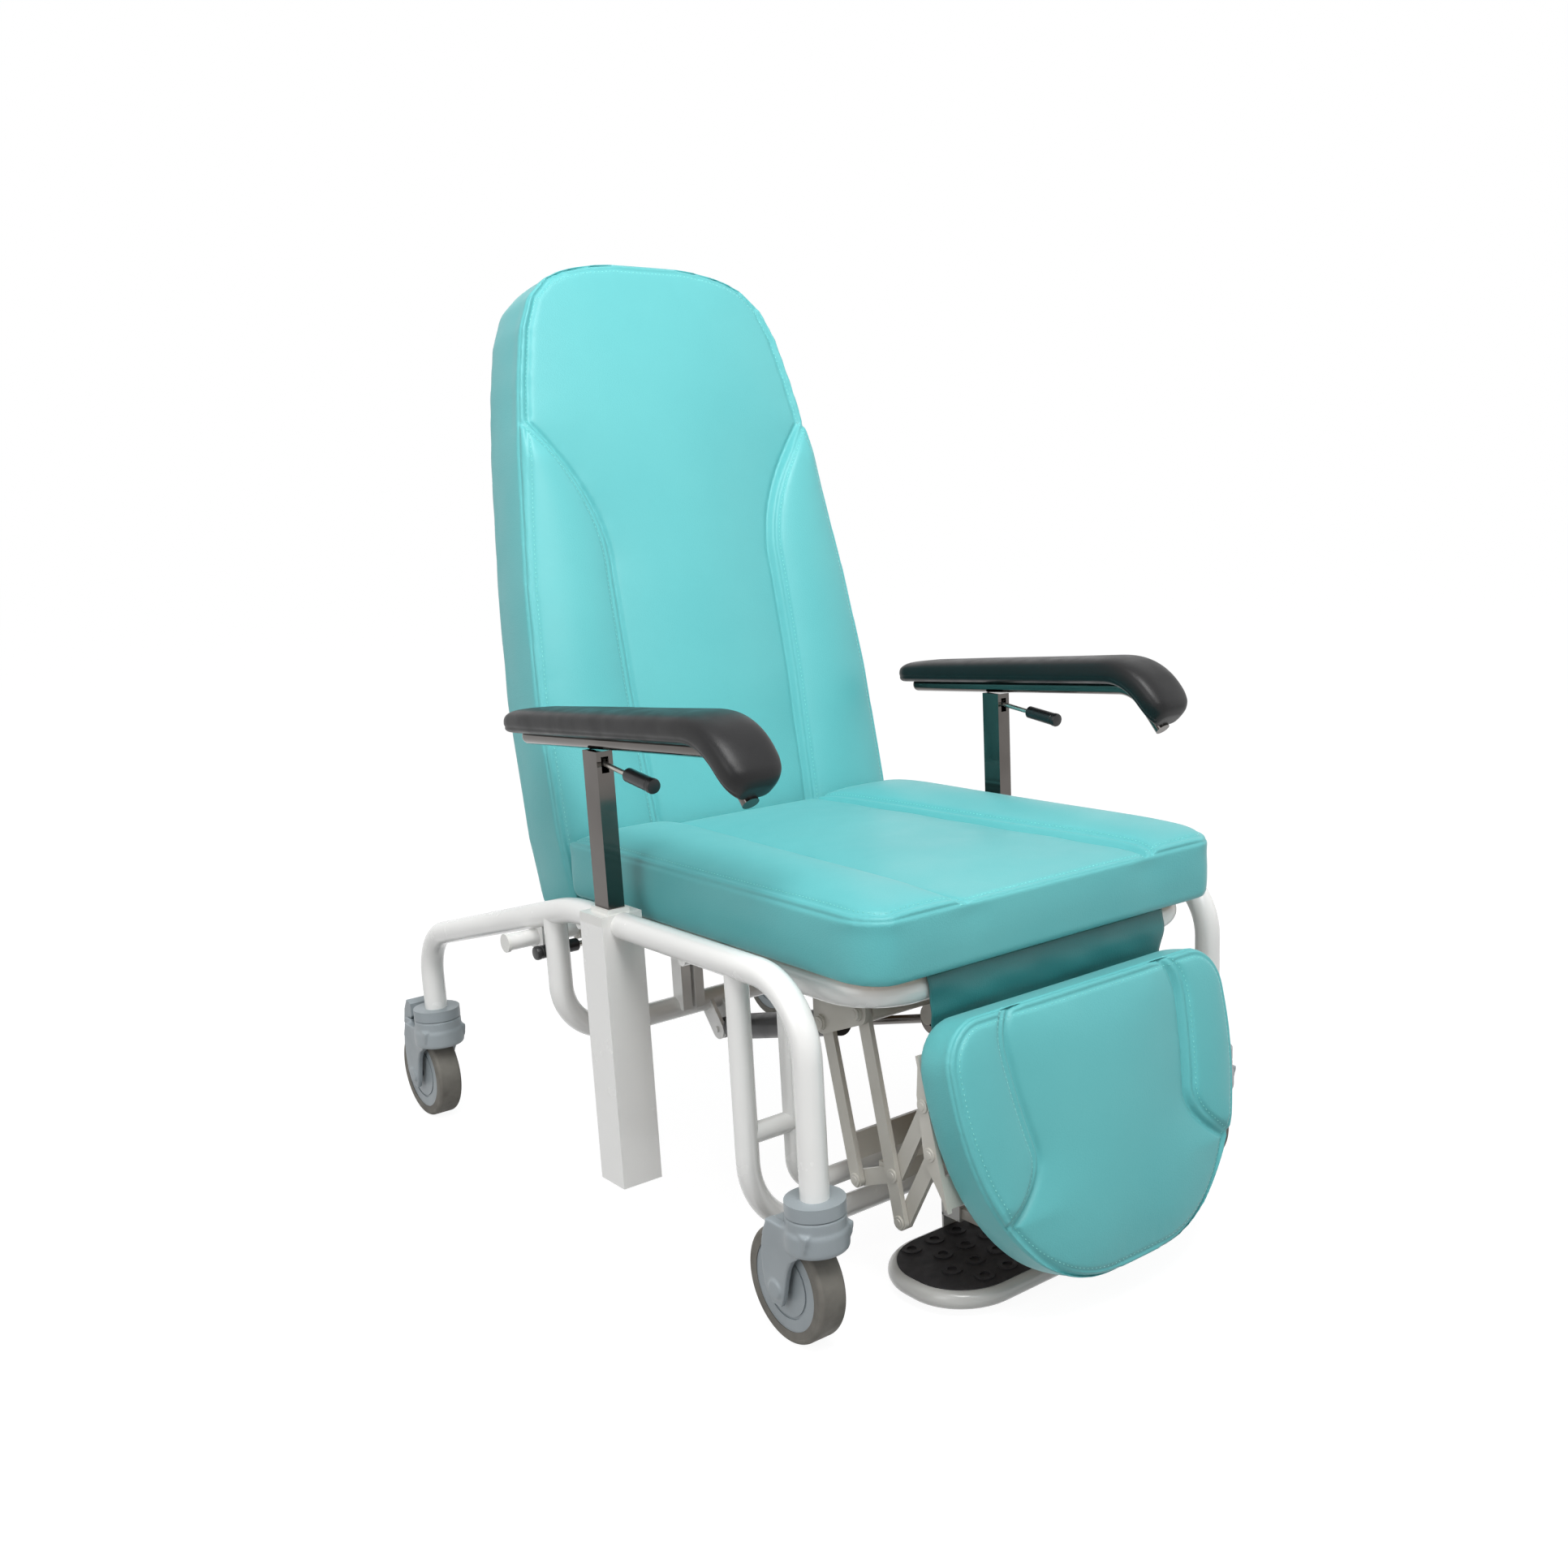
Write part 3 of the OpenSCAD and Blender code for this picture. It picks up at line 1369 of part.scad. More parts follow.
module tyre_front_right() { tyre(-1, -1); }
module tyre_front_left() { tyre(1, -1); }
module tyre_rear_right() { tyre(-1, 1); }
module tyre_rear_left() { tyre(1, 1); }

// Foot pedal that locks a rear caster
module brake_pedal(side) {
    color(grey_plastic) at_caster(side, 1) {
        x_bar(pedal_pivot, -pedal_w / 2, pedal_w / 2, pedal_boss_d);
        yz_plate(-pedal_w / 2, pedal_w) polygon(pedal_outline);
        x_bar(pedal_pivot, -pedal_w / 2 - pedal_ear_t - face_gap, pedal_w / 2 + pedal_ear_t + face_gap, pedal_pin_d);
    }
}

module brake_pedal_right() { brake_pedal(-1); }
module brake_pedal_left() { brake_pedal(1); }

// Lever at the right rear corner of the seat that frees the back spring
module recline_lever() {
    color(black_foam) translate([-lever_pivot_x, lever_y, lever_pivot_z]) {
        difference() {
            union() {
                translate([0, -lever_boss_w / 2, 0]) rotate([-90, 0, 0])
                    cylinder(d = recline_grip_d, h = lever_boss_w);
                rotate([0, -90, 0]) cylinder(d = recline_rod_d, h = recline_reach - recline_grip_len / 2);
                translate([-recline_reach + recline_grip_len, 0, 0]) rotate([0, -90, 0])
                    cylinder(d = recline_grip_d, h = recline_grip_len);
            }
            translate([0, -recline_grip_d, 0]) rotate([-90, 0, 0])
                cylinder(d = spring_pin_d + 2 * run_gap, h = 2 * recline_grip_d);
        }
    }
}

side_arch_right();
side_arch_left();
sleeve_post_right();
sleeve_post_left();
end_caps();
rear_cross_tube();
front_cross_tube();
inner_u_tube();
seat_frame();
seat_board();
seat_cushion();
front_flap();
back_axle();
seat_uprights();
link_plates();
caster_stems();
back_frame();
back_board();
back_shell();
back_cushion();
lift_arms();
rear_rockers();
bell_cranks();
lower_links();
legrest_frame();
legrest_board();
legrest_cushion();
foot_plate();
foot_mat();
leg_spring_cylinder();
leg_spring_rod();
back_spring_cylinder();
back_spring_rod();
arm_post_right();
arm_post_left();
arm_carrier_right();
arm_carrier_left();
arm_pad_right();
arm_pad_left();
arm_lever_right();
arm_lever_left();
fork_front_right();
fork_front_left();
fork_rear_right();
fork_rear_left();
wheel_front_right();
wheel_front_left();
wheel_rear_right();
wheel_rear_left();
tyre_front_right();
tyre_front_left();
tyre_rear_right();
tyre_rear_left();
brake_pedal_right();
brake_pedal_left();
recline_lever();
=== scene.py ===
# %% [markdown]
# # Dressing a hospital recliner
#
# The frame, the joints and the boards of this chair come ready from the CAD model.
# This lesson gives them their paint, plastic and chrome, and makes what a CAD tool
# draws poorly: stuffed vinyl pads with sewn seams, moulded arm pads, caster housings.

# %% Load the frame
import json
import math

import bpy
import bmesh
import numpy as np
from mathutils import Matrix, Vector
from mathutils.bvhtree import BVHTree
from mathutils.kdtree import KDTree


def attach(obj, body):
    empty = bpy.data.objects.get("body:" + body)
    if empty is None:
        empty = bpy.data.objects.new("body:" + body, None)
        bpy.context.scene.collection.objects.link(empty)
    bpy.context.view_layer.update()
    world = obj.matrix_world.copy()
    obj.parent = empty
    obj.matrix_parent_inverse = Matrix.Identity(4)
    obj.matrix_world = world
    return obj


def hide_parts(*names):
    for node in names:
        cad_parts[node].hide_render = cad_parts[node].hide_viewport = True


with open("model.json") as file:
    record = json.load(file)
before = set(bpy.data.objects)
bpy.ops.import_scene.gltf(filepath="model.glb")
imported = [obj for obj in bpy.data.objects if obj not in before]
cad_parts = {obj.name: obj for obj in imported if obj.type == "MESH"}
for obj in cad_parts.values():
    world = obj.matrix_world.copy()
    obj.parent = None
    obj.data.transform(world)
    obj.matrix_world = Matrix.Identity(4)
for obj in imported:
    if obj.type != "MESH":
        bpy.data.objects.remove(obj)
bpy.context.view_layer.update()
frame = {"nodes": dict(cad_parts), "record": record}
scene = bpy.context.scene
mm = 0.001

# %% [markdown]
# ## The camera
# The photograph was taken from the front right, a little above the seat. Its place was
# worked out from the chair's own straight lines and round wheels, so the camera gets a
# position, three angles and a lens, and a small shift because the frame was cropped.

# %% Camera
frame_px = 1932
focal_px = 1930.3
principal_px = (1132.7, 1059.9)
sensor_mm = 36
camera_place = Vector((-1.1356, -1.5943, 0.8230))
camera_yaw, camera_pitch, camera_roll = (math.radians(a) for a in (40.4, 12.8, -2.1))

bpy.ops.object.camera_add(location=camera_place)
camera = bpy.context.object
camera.name = "photo_camera"
ahead = Vector((
    math.sin(camera_yaw) * math.cos(camera_pitch),
    math.cos(camera_yaw) * math.cos(camera_pitch),
    -math.sin(camera_pitch),
))
level_right = ahead.cross(Vector((0, 0, 1))).normalized()
level_up = level_right.cross(ahead)
right = math.cos(camera_roll) * level_right + math.sin(camera_roll) * level_up
up = -math.sin(camera_roll) * level_right + math.cos(camera_roll) * level_up
turned = Matrix((right, up, -ahead)).transposed().to_4x4()
camera.matrix_world = Matrix.Translation(camera_place) @ turned
camera.data.sensor_width = sensor_mm
camera.data.lens = focal_px / frame_px * sensor_mm
camera.data.shift_x = (frame_px / 2 - principal_px[0]) / frame_px
camera.data.shift_y = (principal_px[1] - frame_px / 2) / frame_px
camera.data.clip_start = 0.05
scene.camera = camera
print("lens:", round(camera.data.lens, 2), "mm")

# %% [markdown]
# ## Studio light and floor
# A pale world and four soft lamps light the chair plainly. The fourth is smaller and has a
# narrower spread, for the back is the brightest part of the photograph. The background is
# white only for camera rays, mirror rays and rays through clear things, so the chair
# itself isn't lit by a blazing white room. The floor is pale and keeps a soft shadow.

# %% World, lamps and floor
scene.view_settings.view_transform = "Standard"
white = (1, 1, 1, 1)
ambient_strength = 0.40
floor_size = 60
floor_drop = 0.0005
floor_matt = 0.35
floor_white_share = 0.5
floor_glow = 1.86
back_light_spread = math.radians(75)


def add_node(tree, kind, inputs=(), **settings):
    """A shader node whose inputs each get a value or a link, by name or by number."""
    made = tree.nodes.new("ShaderNode" + kind)
    for key, value in settings.items():
        setattr(made, key, value)
    for key, value in dict(inputs).items():
        if isinstance(value, bpy.types.NodeSocket):
            tree.links.new(value, made.inputs[key])
        else:
            made.inputs[key].default_value = value
    return made


def emptied(owner):
    """The cleared node tree of a world or a material."""
    owner.use_nodes = True
    owner.node_tree.nodes.clear()
    return owner.node_tree


def white_ray(tree):
    """1 for a ray that the eye sees directly, in a mirror or through glass."""
    path = add_node(tree, "LightPath").outputs
    seen = path["Is Camera Ray"]
    for kind in ("Is Glossy Ray", "Is Transmission Ray"):
        seen = add_node(tree, "Math", {0: seen, 1: path[kind]}, operation="MAXIMUM").outputs[0]
    return seen


world = bpy.data.worlds.new("studio")
scene.world = world
tree = emptied(world)
room = add_node(tree, "Background", {"Color": white, "Strength": ambient_strength})
wall = add_node(tree, "Background", {"Color": white, "Strength": 1})
mixed = add_node(tree, "MixShader", {0: white_ray(tree), 1: room.outputs[0], 2: wall.outputs[0]})
add_node(tree, "OutputWorld", {"Surface": mixed.outputs[0]})


def softbox(name, place, aim, size, watts):
    """A square soft lamp at a place, turned towards its aim."""
    bpy.ops.object.light_add(type="AREA", location=place)
    lamp = bpy.context.object
    lamp.name = name
    lamp.data.size = size
    lamp.data.energy = watts
    lamp.rotation_euler = (Vector(aim) - Vector(place)).to_track_quat("-Z", "Y").to_euler()
    return lamp


softbox("key_light", (-0.7, -1.4, 3.1), (0, 0, 0.6), 1.5, 72)
softbox("fill_light", (2.6, -1.8, 1.8), (0, 0, 0.5), 2.4, 9)
softbox("left_light", (-2.9, -0.5, 1.5), (0, 0, 0.5), 2.0, 21)
back_light = softbox("back_light", (-0.4, -1.6, 1.7), (0, 0.2, 1.05), 0.9, 3.1)
back_light.data.spread = back_light_spread

bpy.ops.mesh.primitive_plane_add(size=floor_size, location=(0, 0, -floor_drop))
floor = bpy.context.object
floor.name = "studio_floor"
floor_paint = bpy.data.materials.new("studio_floor")
tree = emptied(floor_paint)
matt = add_node(tree, "BsdfDiffuse", {"Color": (floor_matt, floor_matt, floor_matt, 1)})
glow = add_node(tree, "Emission", {"Color": white, "Strength": floor_glow})
share = add_node(tree, "Math", {0: white_ray(tree), 1: floor_white_share}, operation="MULTIPLY")
mixed = add_node(tree, "MixShader", {0: share.outputs[0], 1: matt.outputs[0], 2: glow.outputs[0]})
add_node(tree, "OutputMaterial", {"Surface": mixed.outputs[0]})
floor.data.materials.append(floor_paint)

# %% [markdown]
# ## Finishes
# Every finish is one recipe with its own numbers: a colour that drifts a little over the
# surface, a roughness that drifts too, and a fine bump for grain or orange peel. The
# patterns are read in object coordinates, in metres, so they have their real size.

# %% The recipe for a finish
noise_detail = 3.0
pattern_low, pattern_high = 0.3, 0.7
rough_patch = 3.1


def linear(*rgb):
    """A colour given as 0 to 255 on screen, as the shader wants it."""
    return tuple((v / 255 / 12.92) if v <= 10 else ((v / 255 + 0.055) / 1.055) ** 2.4
                 for v in rgb)


def noise(tree, coords, scale):
    inputs = {"Scale": scale, "Detail": noise_detail, "Vector": coords}
    return add_node(tree, "TexNoise", inputs).outputs["Fac"]


def cells(tree, coords, scale):
    return add_node(tree, "TexVoronoi", {"Scale": scale, "Vector": coords}).outputs["Distance"]


def spread(tree, value, low, high):
    """Stretches a pattern's middle range onto low to high."""
    inputs = {"From Min": pattern_low, "From Max": pattern_high, "To Min": low, "To Max": high,
              "Value": value}
    return add_node(tree, "MapRange", inputs).outputs["Result"]


def blend_colour(tree, factor, first, second):
    mix = add_node(tree, "Mix", {"Factor": factor}, data_type="RGBA")
    ends = {socket.identifier: socket for socket in mix.inputs}
    ends["A_Color"].default_value = (*first, 1)
    ends["B_Color"].default_value = (*second, 1)
    return {socket.identifier: socket for socket in mix.outputs}["Result_Color"]


def bumped(tree, height, depth, strength, before=None):
    inputs = {"Distance": depth, "Strength": strength, "Height": height}
    if before is not None:
        inputs["Normal"] = before
    return add_node(tree, "Bump", inputs).outputs["Normal"]


def finish(name, light, dark, patch, rough, grain, shader=(), grain_kind=noise, waves=None):
    """A finish: two near colours in patches, a roughness range, and a grain with its depth."""
    made = bpy.data.materials.new(name)
    made.use_nodes = True
    tree = made.node_tree
    skin = tree.nodes["Principled BSDF"]
    coords = tree.nodes.new("ShaderNodeTexCoord").outputs["Object"]
    drift = noise(tree, coords, patch)
    tree.links.new(blend_colour(tree, spread(tree, drift, 0, 1), linear(*light), linear(*dark)),
                   skin.inputs["Base Color"])
    tree.links.new(spread(tree, noise(tree, coords, patch * rough_patch), *rough),
                   skin.inputs["Roughness"])
    grain_scale, grain_depth, grain_strength = grain
    normal = bumped(tree, grain_kind(tree, coords, grain_scale), grain_depth, grain_strength)
    if waves:
        wave_scale, wave_depth, wave_strength = waves
        normal = bumped(tree, noise(tree, coords, wave_scale), wave_depth, wave_strength, normal)
    tree.links.new(normal, skin.inputs["Normal"])
    for socket, value in dict(shader).items():
        skin.inputs[socket].default_value = value
    made.diffuse_color = (*linear(*light), 1)
    return made


def coat(weight, roughness):
    return {"Coat Weight": weight, "Coat Roughness": roughness}


# %% Make the finishes
vinyl_skin = {"grain_kind": cells, "waves": (60, 0.0008, 0.12)}
finishes = {
    "white_paint": finish(
        "white_powder_coat", (241, 241, 239), (237, 237, 235), 9, (0.22, 0.28),
        (420, 0.0002, 0.12), coat(0.5, 0.12)),
    "turquoise_vinyl": finish(
        "turquoise_vinyl", (99, 184, 186), (92, 178, 181), 5, (0.40, 0.50), (620, 0.0004, 0.30),
        {"Sheen Weight": 0.12, "Sheen Roughness": 0.4, "Specular IOR Level": 0.42},
        **vinyl_skin),
    "beige_steel": finish(
        "beige_epoxy", (203, 200, 192), (190, 187, 178), 11, (0.28, 0.42), (500, 0.0002, 0.15),
        coat(0.2, 0.2)),
    # The chrome's base colour is painted dark and brownish: a painted dark reflection of a room,
    # since the world is white for mirror rays.
    "chrome": finish(
        "chrome_painted_dark_reflection", (106, 102, 99), (88, 84, 81), 9, (0.05, 0.13), (260, 0.0001, 0.04),
        {"Metallic": 1.0}),
    "black_foam": finish(
        "moulded_foam_skin", (16, 16, 18), (12, 12, 13), 14, (0.36, 0.48), (900, 0.0003, 0.3),
        {"Specular IOR Level": 0.3, "Coat Weight": 0.06, "Coat Roughness": 0.3}, grain_kind=cells),
    "black_plastic": finish(
        "black_moulding", (30, 30, 32), (22, 22, 24), 20, (0.30, 0.42), (800, 0.0002, 0.2)),
    "white_plastic": finish(
        "white_moulding", (236, 236, 233), (228, 228, 224), 12, (0.30, 0.42), (700, 0.0002, 0.15)),
    "pale_gloss": finish(
        "pale_gloss_moulding", (206, 206, 203), (198, 198, 194), 9, (0.12, 0.22),
        (90, 0.0003, 0.08), coat(0.4, 0.08)),
    "black_rubber": finish(
        "ribbed_rubber", (40, 38, 41), (30, 29, 31), 25, (0.55, 0.75), (700, 0.0004, 0.4)),
    "grey_plastic": finish(
        "blue_grey_moulding", (158, 166, 170), (147, 156, 161), 16, (0.36, 0.48),
        (900, 0.0003, 0.25)),
    "dark_tread": finish(
        "worn_tread", (126, 123, 116), (102, 99, 93), 30, (0.65, 0.85), (450, 0.0005, 0.4)),
    "plywood": finish(
        "raw_board", (196, 160, 112), (176, 138, 92), 20, (0.6, 0.75), (300, 0.0004, 0.35)),
}
stitch_thread = finish("seam_thread", (150, 226, 222), (132, 214, 210), 60, (0.5, 0.6),
                       (1500, 0.0002, 0.4))
# The flap's vinyl is the same turquoise painted darker: painted shade, for the flap hangs in the
# shade under the seat.
flap_vinyl_painted_shade = finish("flap_vinyl_painted_shade", (50, 122, 123), (43, 110, 112), 8, (0.38, 0.48),
                    (620, 0.0004, 0.3), **vinyl_skin)
bright_steel = finish("zinc_steel", (196, 194, 188), (170, 168, 162), 40, (0.22, 0.36),
                      (900, 0.0001, 0.2), {"Metallic": 0.9})
print("finishes:", len(finishes) + 3)

# %% Give each CAD node the finish of its slot
slot_of = {part["node"]: part["material_slot"] for part in frame["record"]["subparts"]}
for name, node in frame["nodes"].items():
    made = finishes[slot_of[name]]
    if not node.data.materials:
        node.data.materials.append(made)
    for i in range(len(node.data.materials)):
        node.data.materials[i] = made
print("nodes painted:", len(slot_of))

# %% [markdown]
# ## The upholstery's outlines
# Seat, back and legrest are each cut from vinyl: a face sewn to a boxing strip, with two
# curved channels that are pulled down to the board. Each is described once, along its
# length, by its half width, by where the channel runs, and by how high its lobes swell.

# %% Outlines, channels and places of the three cushions
# v runs from 0 to 1 along a cushion; a channel's place is a share of the half width there.
channel_widest = 0.94
seat_widest, back_widest, legrest_widest = 0.260, 0.258, 0.206
back_lean, legrest_lean = 10.5, 13.5
back_foot, legrest_top = (0.105, 0.32921), (-0.474, 0.325)


def flare(v, start, length):
    return max(0.0, (v - start) / length) ** 2


def seat_half(v):
    corner, draw = 0.09, 0.14
    if v >= corner:
        return seat_widest
    return seat_widest * (1 - draw + draw * math.sqrt(1 - (1 - v / corner) ** 2))


def seat_channel(v):
    return 0.55 - 0.12 * v


back_shares = ((0, 0.975), (0.11, 1), (0.32, 0.99), (0.49, 0.945), (0.7, 0.86), (0.81, 0.8),
               (0.89, 0.74), (0.94, 0.67), (0.97, 0.57), (0.985, 0.47), (0.995, 0.34), (1, 0.2))


def back_half(v):
    return back_widest * float(np.interp(v, *zip(*back_shares)))


def back_channel(v):
    return min(channel_widest, 0.44 + 0.12 * v + 0.5 * flare(v, 0.52, 0.25))


def legrest_half(v):
    corner, draw = 0.17, 0.23
    taper_from, taper_power, tip, taper = 0.2, 2.2, 0.18, 0.82
    if v < corner:
        return legrest_widest * (1 - draw + draw * math.sqrt(1 - (1 - v / corner) ** 2))
    if v < taper_from:
        return legrest_widest
    run = (v - taper_from) / (1 - taper_from)
    return legrest_widest * (tip + taper * math.sqrt(max(0.0, 1 - run ** taper_power)))


def legrest_channel(v):
    return min(channel_widest, 0.64 - 0.14 * v + 0.6 * flare(v, 0.48, 0.28))


def tilted(foot, lean_degrees, s, t, way=1):
    """The place of a cushion, s along and t out from a foot (y, z) of its leaning line.

    Its x runs across, its y along it, up or with way -1 down, and its z out of its sewn face.
    """
    a = math.radians(lean_degrees)
    along = Vector((0, way * math.sin(a), way * math.cos(a)))
    out = Vector((0, -math.cos(a), math.sin(a)))
    across = along.cross(out)
    rows = Matrix((across, along, out)).transposed().to_4x4()
    y = foot[0] - t * math.cos(a) + way * s * math.sin(a)
    z = foot[1] + t * math.sin(a) + way * s * math.cos(a)
    return Matrix.Translation((0, y, z)) @ rows


cushions = {
    "seat": dict(length=0.576, depth=0.0666, half=seat_half, channel=seat_channel,
                 mid=0.003, crown=0.025, place=Matrix.Translation((0, -0.490, 0.441)),
                 body="base", nodes=("seat_cushion",), voxel=0.006),
    "back": dict(length=0.790, depth=0.0870, half=back_half, channel=back_channel,
                 mid=0.013, crown=0.024, place=tilted(back_foot, back_lean, 0.026, 0.013),
                 body="backrest", nodes=("back_cushion", "back_board", "back_shell"), voxel=0.0068),
    "legrest": dict(length=0.298, depth=0.0473, half=legrest_half, channel=legrest_channel,
                    mid=0.0144, crown=0.0126,
                    place=tilted(legrest_top, legrest_lean, 0, 0.0493, way=-1),
                    body="legrest", nodes=("legrest_cushion",), voxel=0.005),
}
print("cushions:", list(cushions))

# %% [markdown]
# ## A cushion's blank
# Padded pieces aren't built from primitives by hand: each blank is a closed form whose
# face follows the outline and already carries its lobes, a little lower than they end
# up, because the cloth step makes them swell.

# %% Build a blank
face_columns = 64
face_rows = 150
blank_share = 0.72
lobe_power, end_power, end_ease = 4, 8, 0.6
full_lobe_share = 0.25
side_draw = 0.002
# Rings down the boxing: the share of its depth, and how many side_draw it is drawn in there.
side_rings = ((0.2, 0.6), (0.45, 0.2), (0.7, 0.2), (0.9, 0.6), (1.0, 2.2))


def lobe(s):
    return 1 - abs(s) ** lobe_power


def swell(cushion, v, share):
    """Height of the sewn face above its seam, at v along and at a share of the half width."""
    c = cushion["channel"](v)
    ends = (1 - min(1.0, abs(2 * v - 1)) ** end_power) ** end_ease
    s = abs(share)
    if s < c:
        return cushion["mid"] * lobe(s / c) * ends
    narrow = min(1, (1 - c) / full_lobe_share)
    return cushion["crown"] * lobe(2 * (s - c) / (1 - c) - 1) * narrow * ends


def outline_rows(count):
    """Row places that crowd together at both ends, where the outline turns quickly."""
    return [0.5 - 0.5 * math.cos(math.pi * j / count) for j in range(count + 1)]


def object_from(shape, name):
    """A scene object whose mesh comes from a bmesh, which is used up."""
    mesh = bpy.data.meshes.new(name)
    shape.to_mesh(mesh)
    shape.free()
    made = bpy.data.objects.new(name, mesh)
    scene.collection.objects.link(made)
    return made


def pad_blank(name, cushion):
    shape = bmesh.new()
    rows = outline_rows(face_rows)
    grid = []
    for v in rows:
        half = cushion["half"](v)
        line = []
        for k in range(-face_columns, face_columns + 1):
            share = k / face_columns
            z = swell(cushion, v, share) * blank_share
            line.append(shape.verts.new((share * half, v * cushion["length"], z)))
        grid.append(line)
    for j in range(len(rows) - 1):
        for k in range(2 * face_columns):
            shape.faces.new((grid[j][k], grid[j][k + 1], grid[j + 1][k + 1], grid[j + 1][k]))
    rim = (grid[0] + [line[-1] for line in grid[1:]] + grid[-1][-2::-1]
           + [line[0] for line in grid[-2:0:-1]])
    centre = Vector((0, cushion["length"] / 2, 0))
    above = rim
    for share, pull in side_rings:
        ring = []
        for vert in rim:
            flat = Vector((vert.co.x, vert.co.y, 0)) - centre
            flat *= 1 - pull * side_draw / max(flat.length, mm)
            ring.append(shape.verts.new((flat.x, centre.y + flat.y, -share * cushion["depth"])))
        for k in range(len(rim)):
            n = (k + 1) % len(rim)
            shape.faces.new((above[k], ring[k], ring[n], above[n]))
        above = ring
    middle = shape.verts.new((0, centre.y, -cushion["depth"]))
    for k in range(len(above)):
        shape.faces.new((above[k], middle, above[(k + 1) % len(above)]))
    bmesh.ops.recalc_face_normals(shape, faces=shape.faces)
    return object_from(shape, name)


def enter(mode):
    bpy.ops.object.mode_set(mode=mode)


def only(obj):
    """Selects one object and makes it the active one."""
    if bpy.context.object and bpy.context.object.mode != "OBJECT":
        enter("OBJECT")
    bpy.ops.object.select_all(action="DESELECT")
    obj.select_set(True)
    bpy.context.view_layer.objects.active = obj


def points_of(obj):
    co = np.empty(len(obj.data.vertices) * 3)
    obj.data.vertices.foreach_get("co", co)
    return co.reshape(-1, 3)


def set_points(obj, co):
    obj.data.vertices.foreach_set("co", np.asarray(co, float).ravel())
    obj.data.update()


def select_where(obj, kind, test):
    """Goes to edit mode and selects the faces or the edges that pass a test."""
    enter("EDIT")
    bpy.ops.mesh.select_mode(type=kind)
    bpy.ops.mesh.select_all(action="DESELECT")
    shape = bmesh.from_edit_mesh(obj.data)
    for part in shape.faces if kind == "FACE" else shape.edges:
        part.select_set(test(part))
    bmesh.update_edit_mesh(obj.data)


def apply_modifier(obj, kind, **settings):
    only(obj)
    step = obj.modifiers.new(kind.lower(), kind)
    for key, value in settings.items():
        setattr(step, key, value)
    bpy.ops.object.modifier_apply(modifier=step.name)


def eased(obj, steps):
    apply_modifier(obj, "SMOOTH", factor=0.5, iterations=steps)


def subdivided(obj):
    """Every face split in four, with the skin drawn smooth."""
    apply_modifier(obj, "SUBSURF", levels=1, render_levels=1)


def paint_with(piece, paint):
    piece.data.materials.clear()
    piece.data.materials.append(paint)


def dress(piece, slot, body, *nodes, paint=None):
    """Gives a piece its finish and its body, and the CAD nodes whose place it takes."""
    paint_with(piece, paint or finishes[slot])
    carry(piece, slot, body, *nodes)


def carry(piece, slot, body, *nodes):
    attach(piece, body)
    if nodes:
        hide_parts(*nodes)


# %% [markdown]
# ## Stuffing the blanks
# The blank is remeshed to an even skin and blown up from inside as cloth. The board's
# side, the seams and the channels are held, so the vinyl swells between them and pulls
# small creases towards them. How far a point may move is capped.

# %% Swell a blank as cloth
pressure = 4.0
swell_frames = 20
swell_cap = 0.022
cloth_quality, cloth_stiffness, cloth_bending = 5, 18, 0.6
hold_seam, seam_hold = 0.006, 0.95
hold_channel, channel_hold = 0.007, 0.97
hold_reach = 1.6
face_share = 0.25
board_share, board_fade = 0.72, 0.12
channel_points, channel_margin, channel_shift = 400, 0.002, 0.005
hold_step, refine_step, valley_step = 0.003, 0.002, 0.001
rim_points, rim_step = 1200, 0.0015
inset_share, inset_slip = 0.97, 0.0002
vinyl_ease = 2
tiny = 1e-9
both_sides = (-1, 1)


def channel_line(cushion, side, offset=0.0):
    """Points of a channel on the flat, shifted sideways towards the outside by offset."""
    line = []
    for j in range(channel_points + 1):
        v = j / channel_points
        x = cushion["channel"](v) * cushion["half"](v) + offset
        if x < cushion["half"](v) - channel_margin:
            line.append((side * x, v * cushion["length"]))
    return line


def channel_tree(cushion, offset, step):
    """Both channels of a cushion on the flat, to measure distances to."""
    return flat_tree([even(channel_line(cushion, side, offset), step) for side in both_sides])


def rim_line(cushion, inset=0.0):
    """The outline on the flat, drawn inward by inset, as evenly spaced points."""
    rows = outline_rows(rim_points)
    right = [(cushion["half"](v), v * cushion["length"]) for v in rows]
    ring = right + [(-x, y) for x, y in reversed(right)]
    ring = np.array(ring)
    ahead_of = np.roll(ring, -1, axis=0) - np.roll(ring, 1, axis=0)
    ahead_of /= np.maximum(np.linalg.norm(ahead_of, axis=1), tiny)[:, None]
    inward = np.stack((-ahead_of[:, 1], ahead_of[:, 0]), axis=1)
    ring = ring + inward * inset
    if inset > 0:
        tree = flat_tree([right, [(-x, y) for x, y in right]])
        least = inset * inset_share - inset_slip
        ring = ring[[tree.find((x, y, 0))[2] > least for x, y in ring]]
    return even(ring, rim_step, closed=True)


def even(line, step, closed=False):
    """The same line with points at equal steps."""
    line = np.array(line)
    if closed:
        line = np.vstack((line, line[:1]))
    run = np.concatenate(([0], np.cumsum(np.linalg.norm(np.diff(line, axis=0), axis=1))))
    places = np.arange(0, run[-1], step)
    return np.stack([np.interp(places, run, line[:, i]) for i in range(2)], axis=1)


def flat_tree(lines):
    points = np.vstack(lines)
    tree = KDTree(len(points))
    for i, (x, y) in enumerate(points):
        tree.insert((x, y, 0), i)
    tree.balance()
    return tree


def distances(tree, co):
    return np.array([tree.find((x, y, 0))[2] for x, y, _ in co])


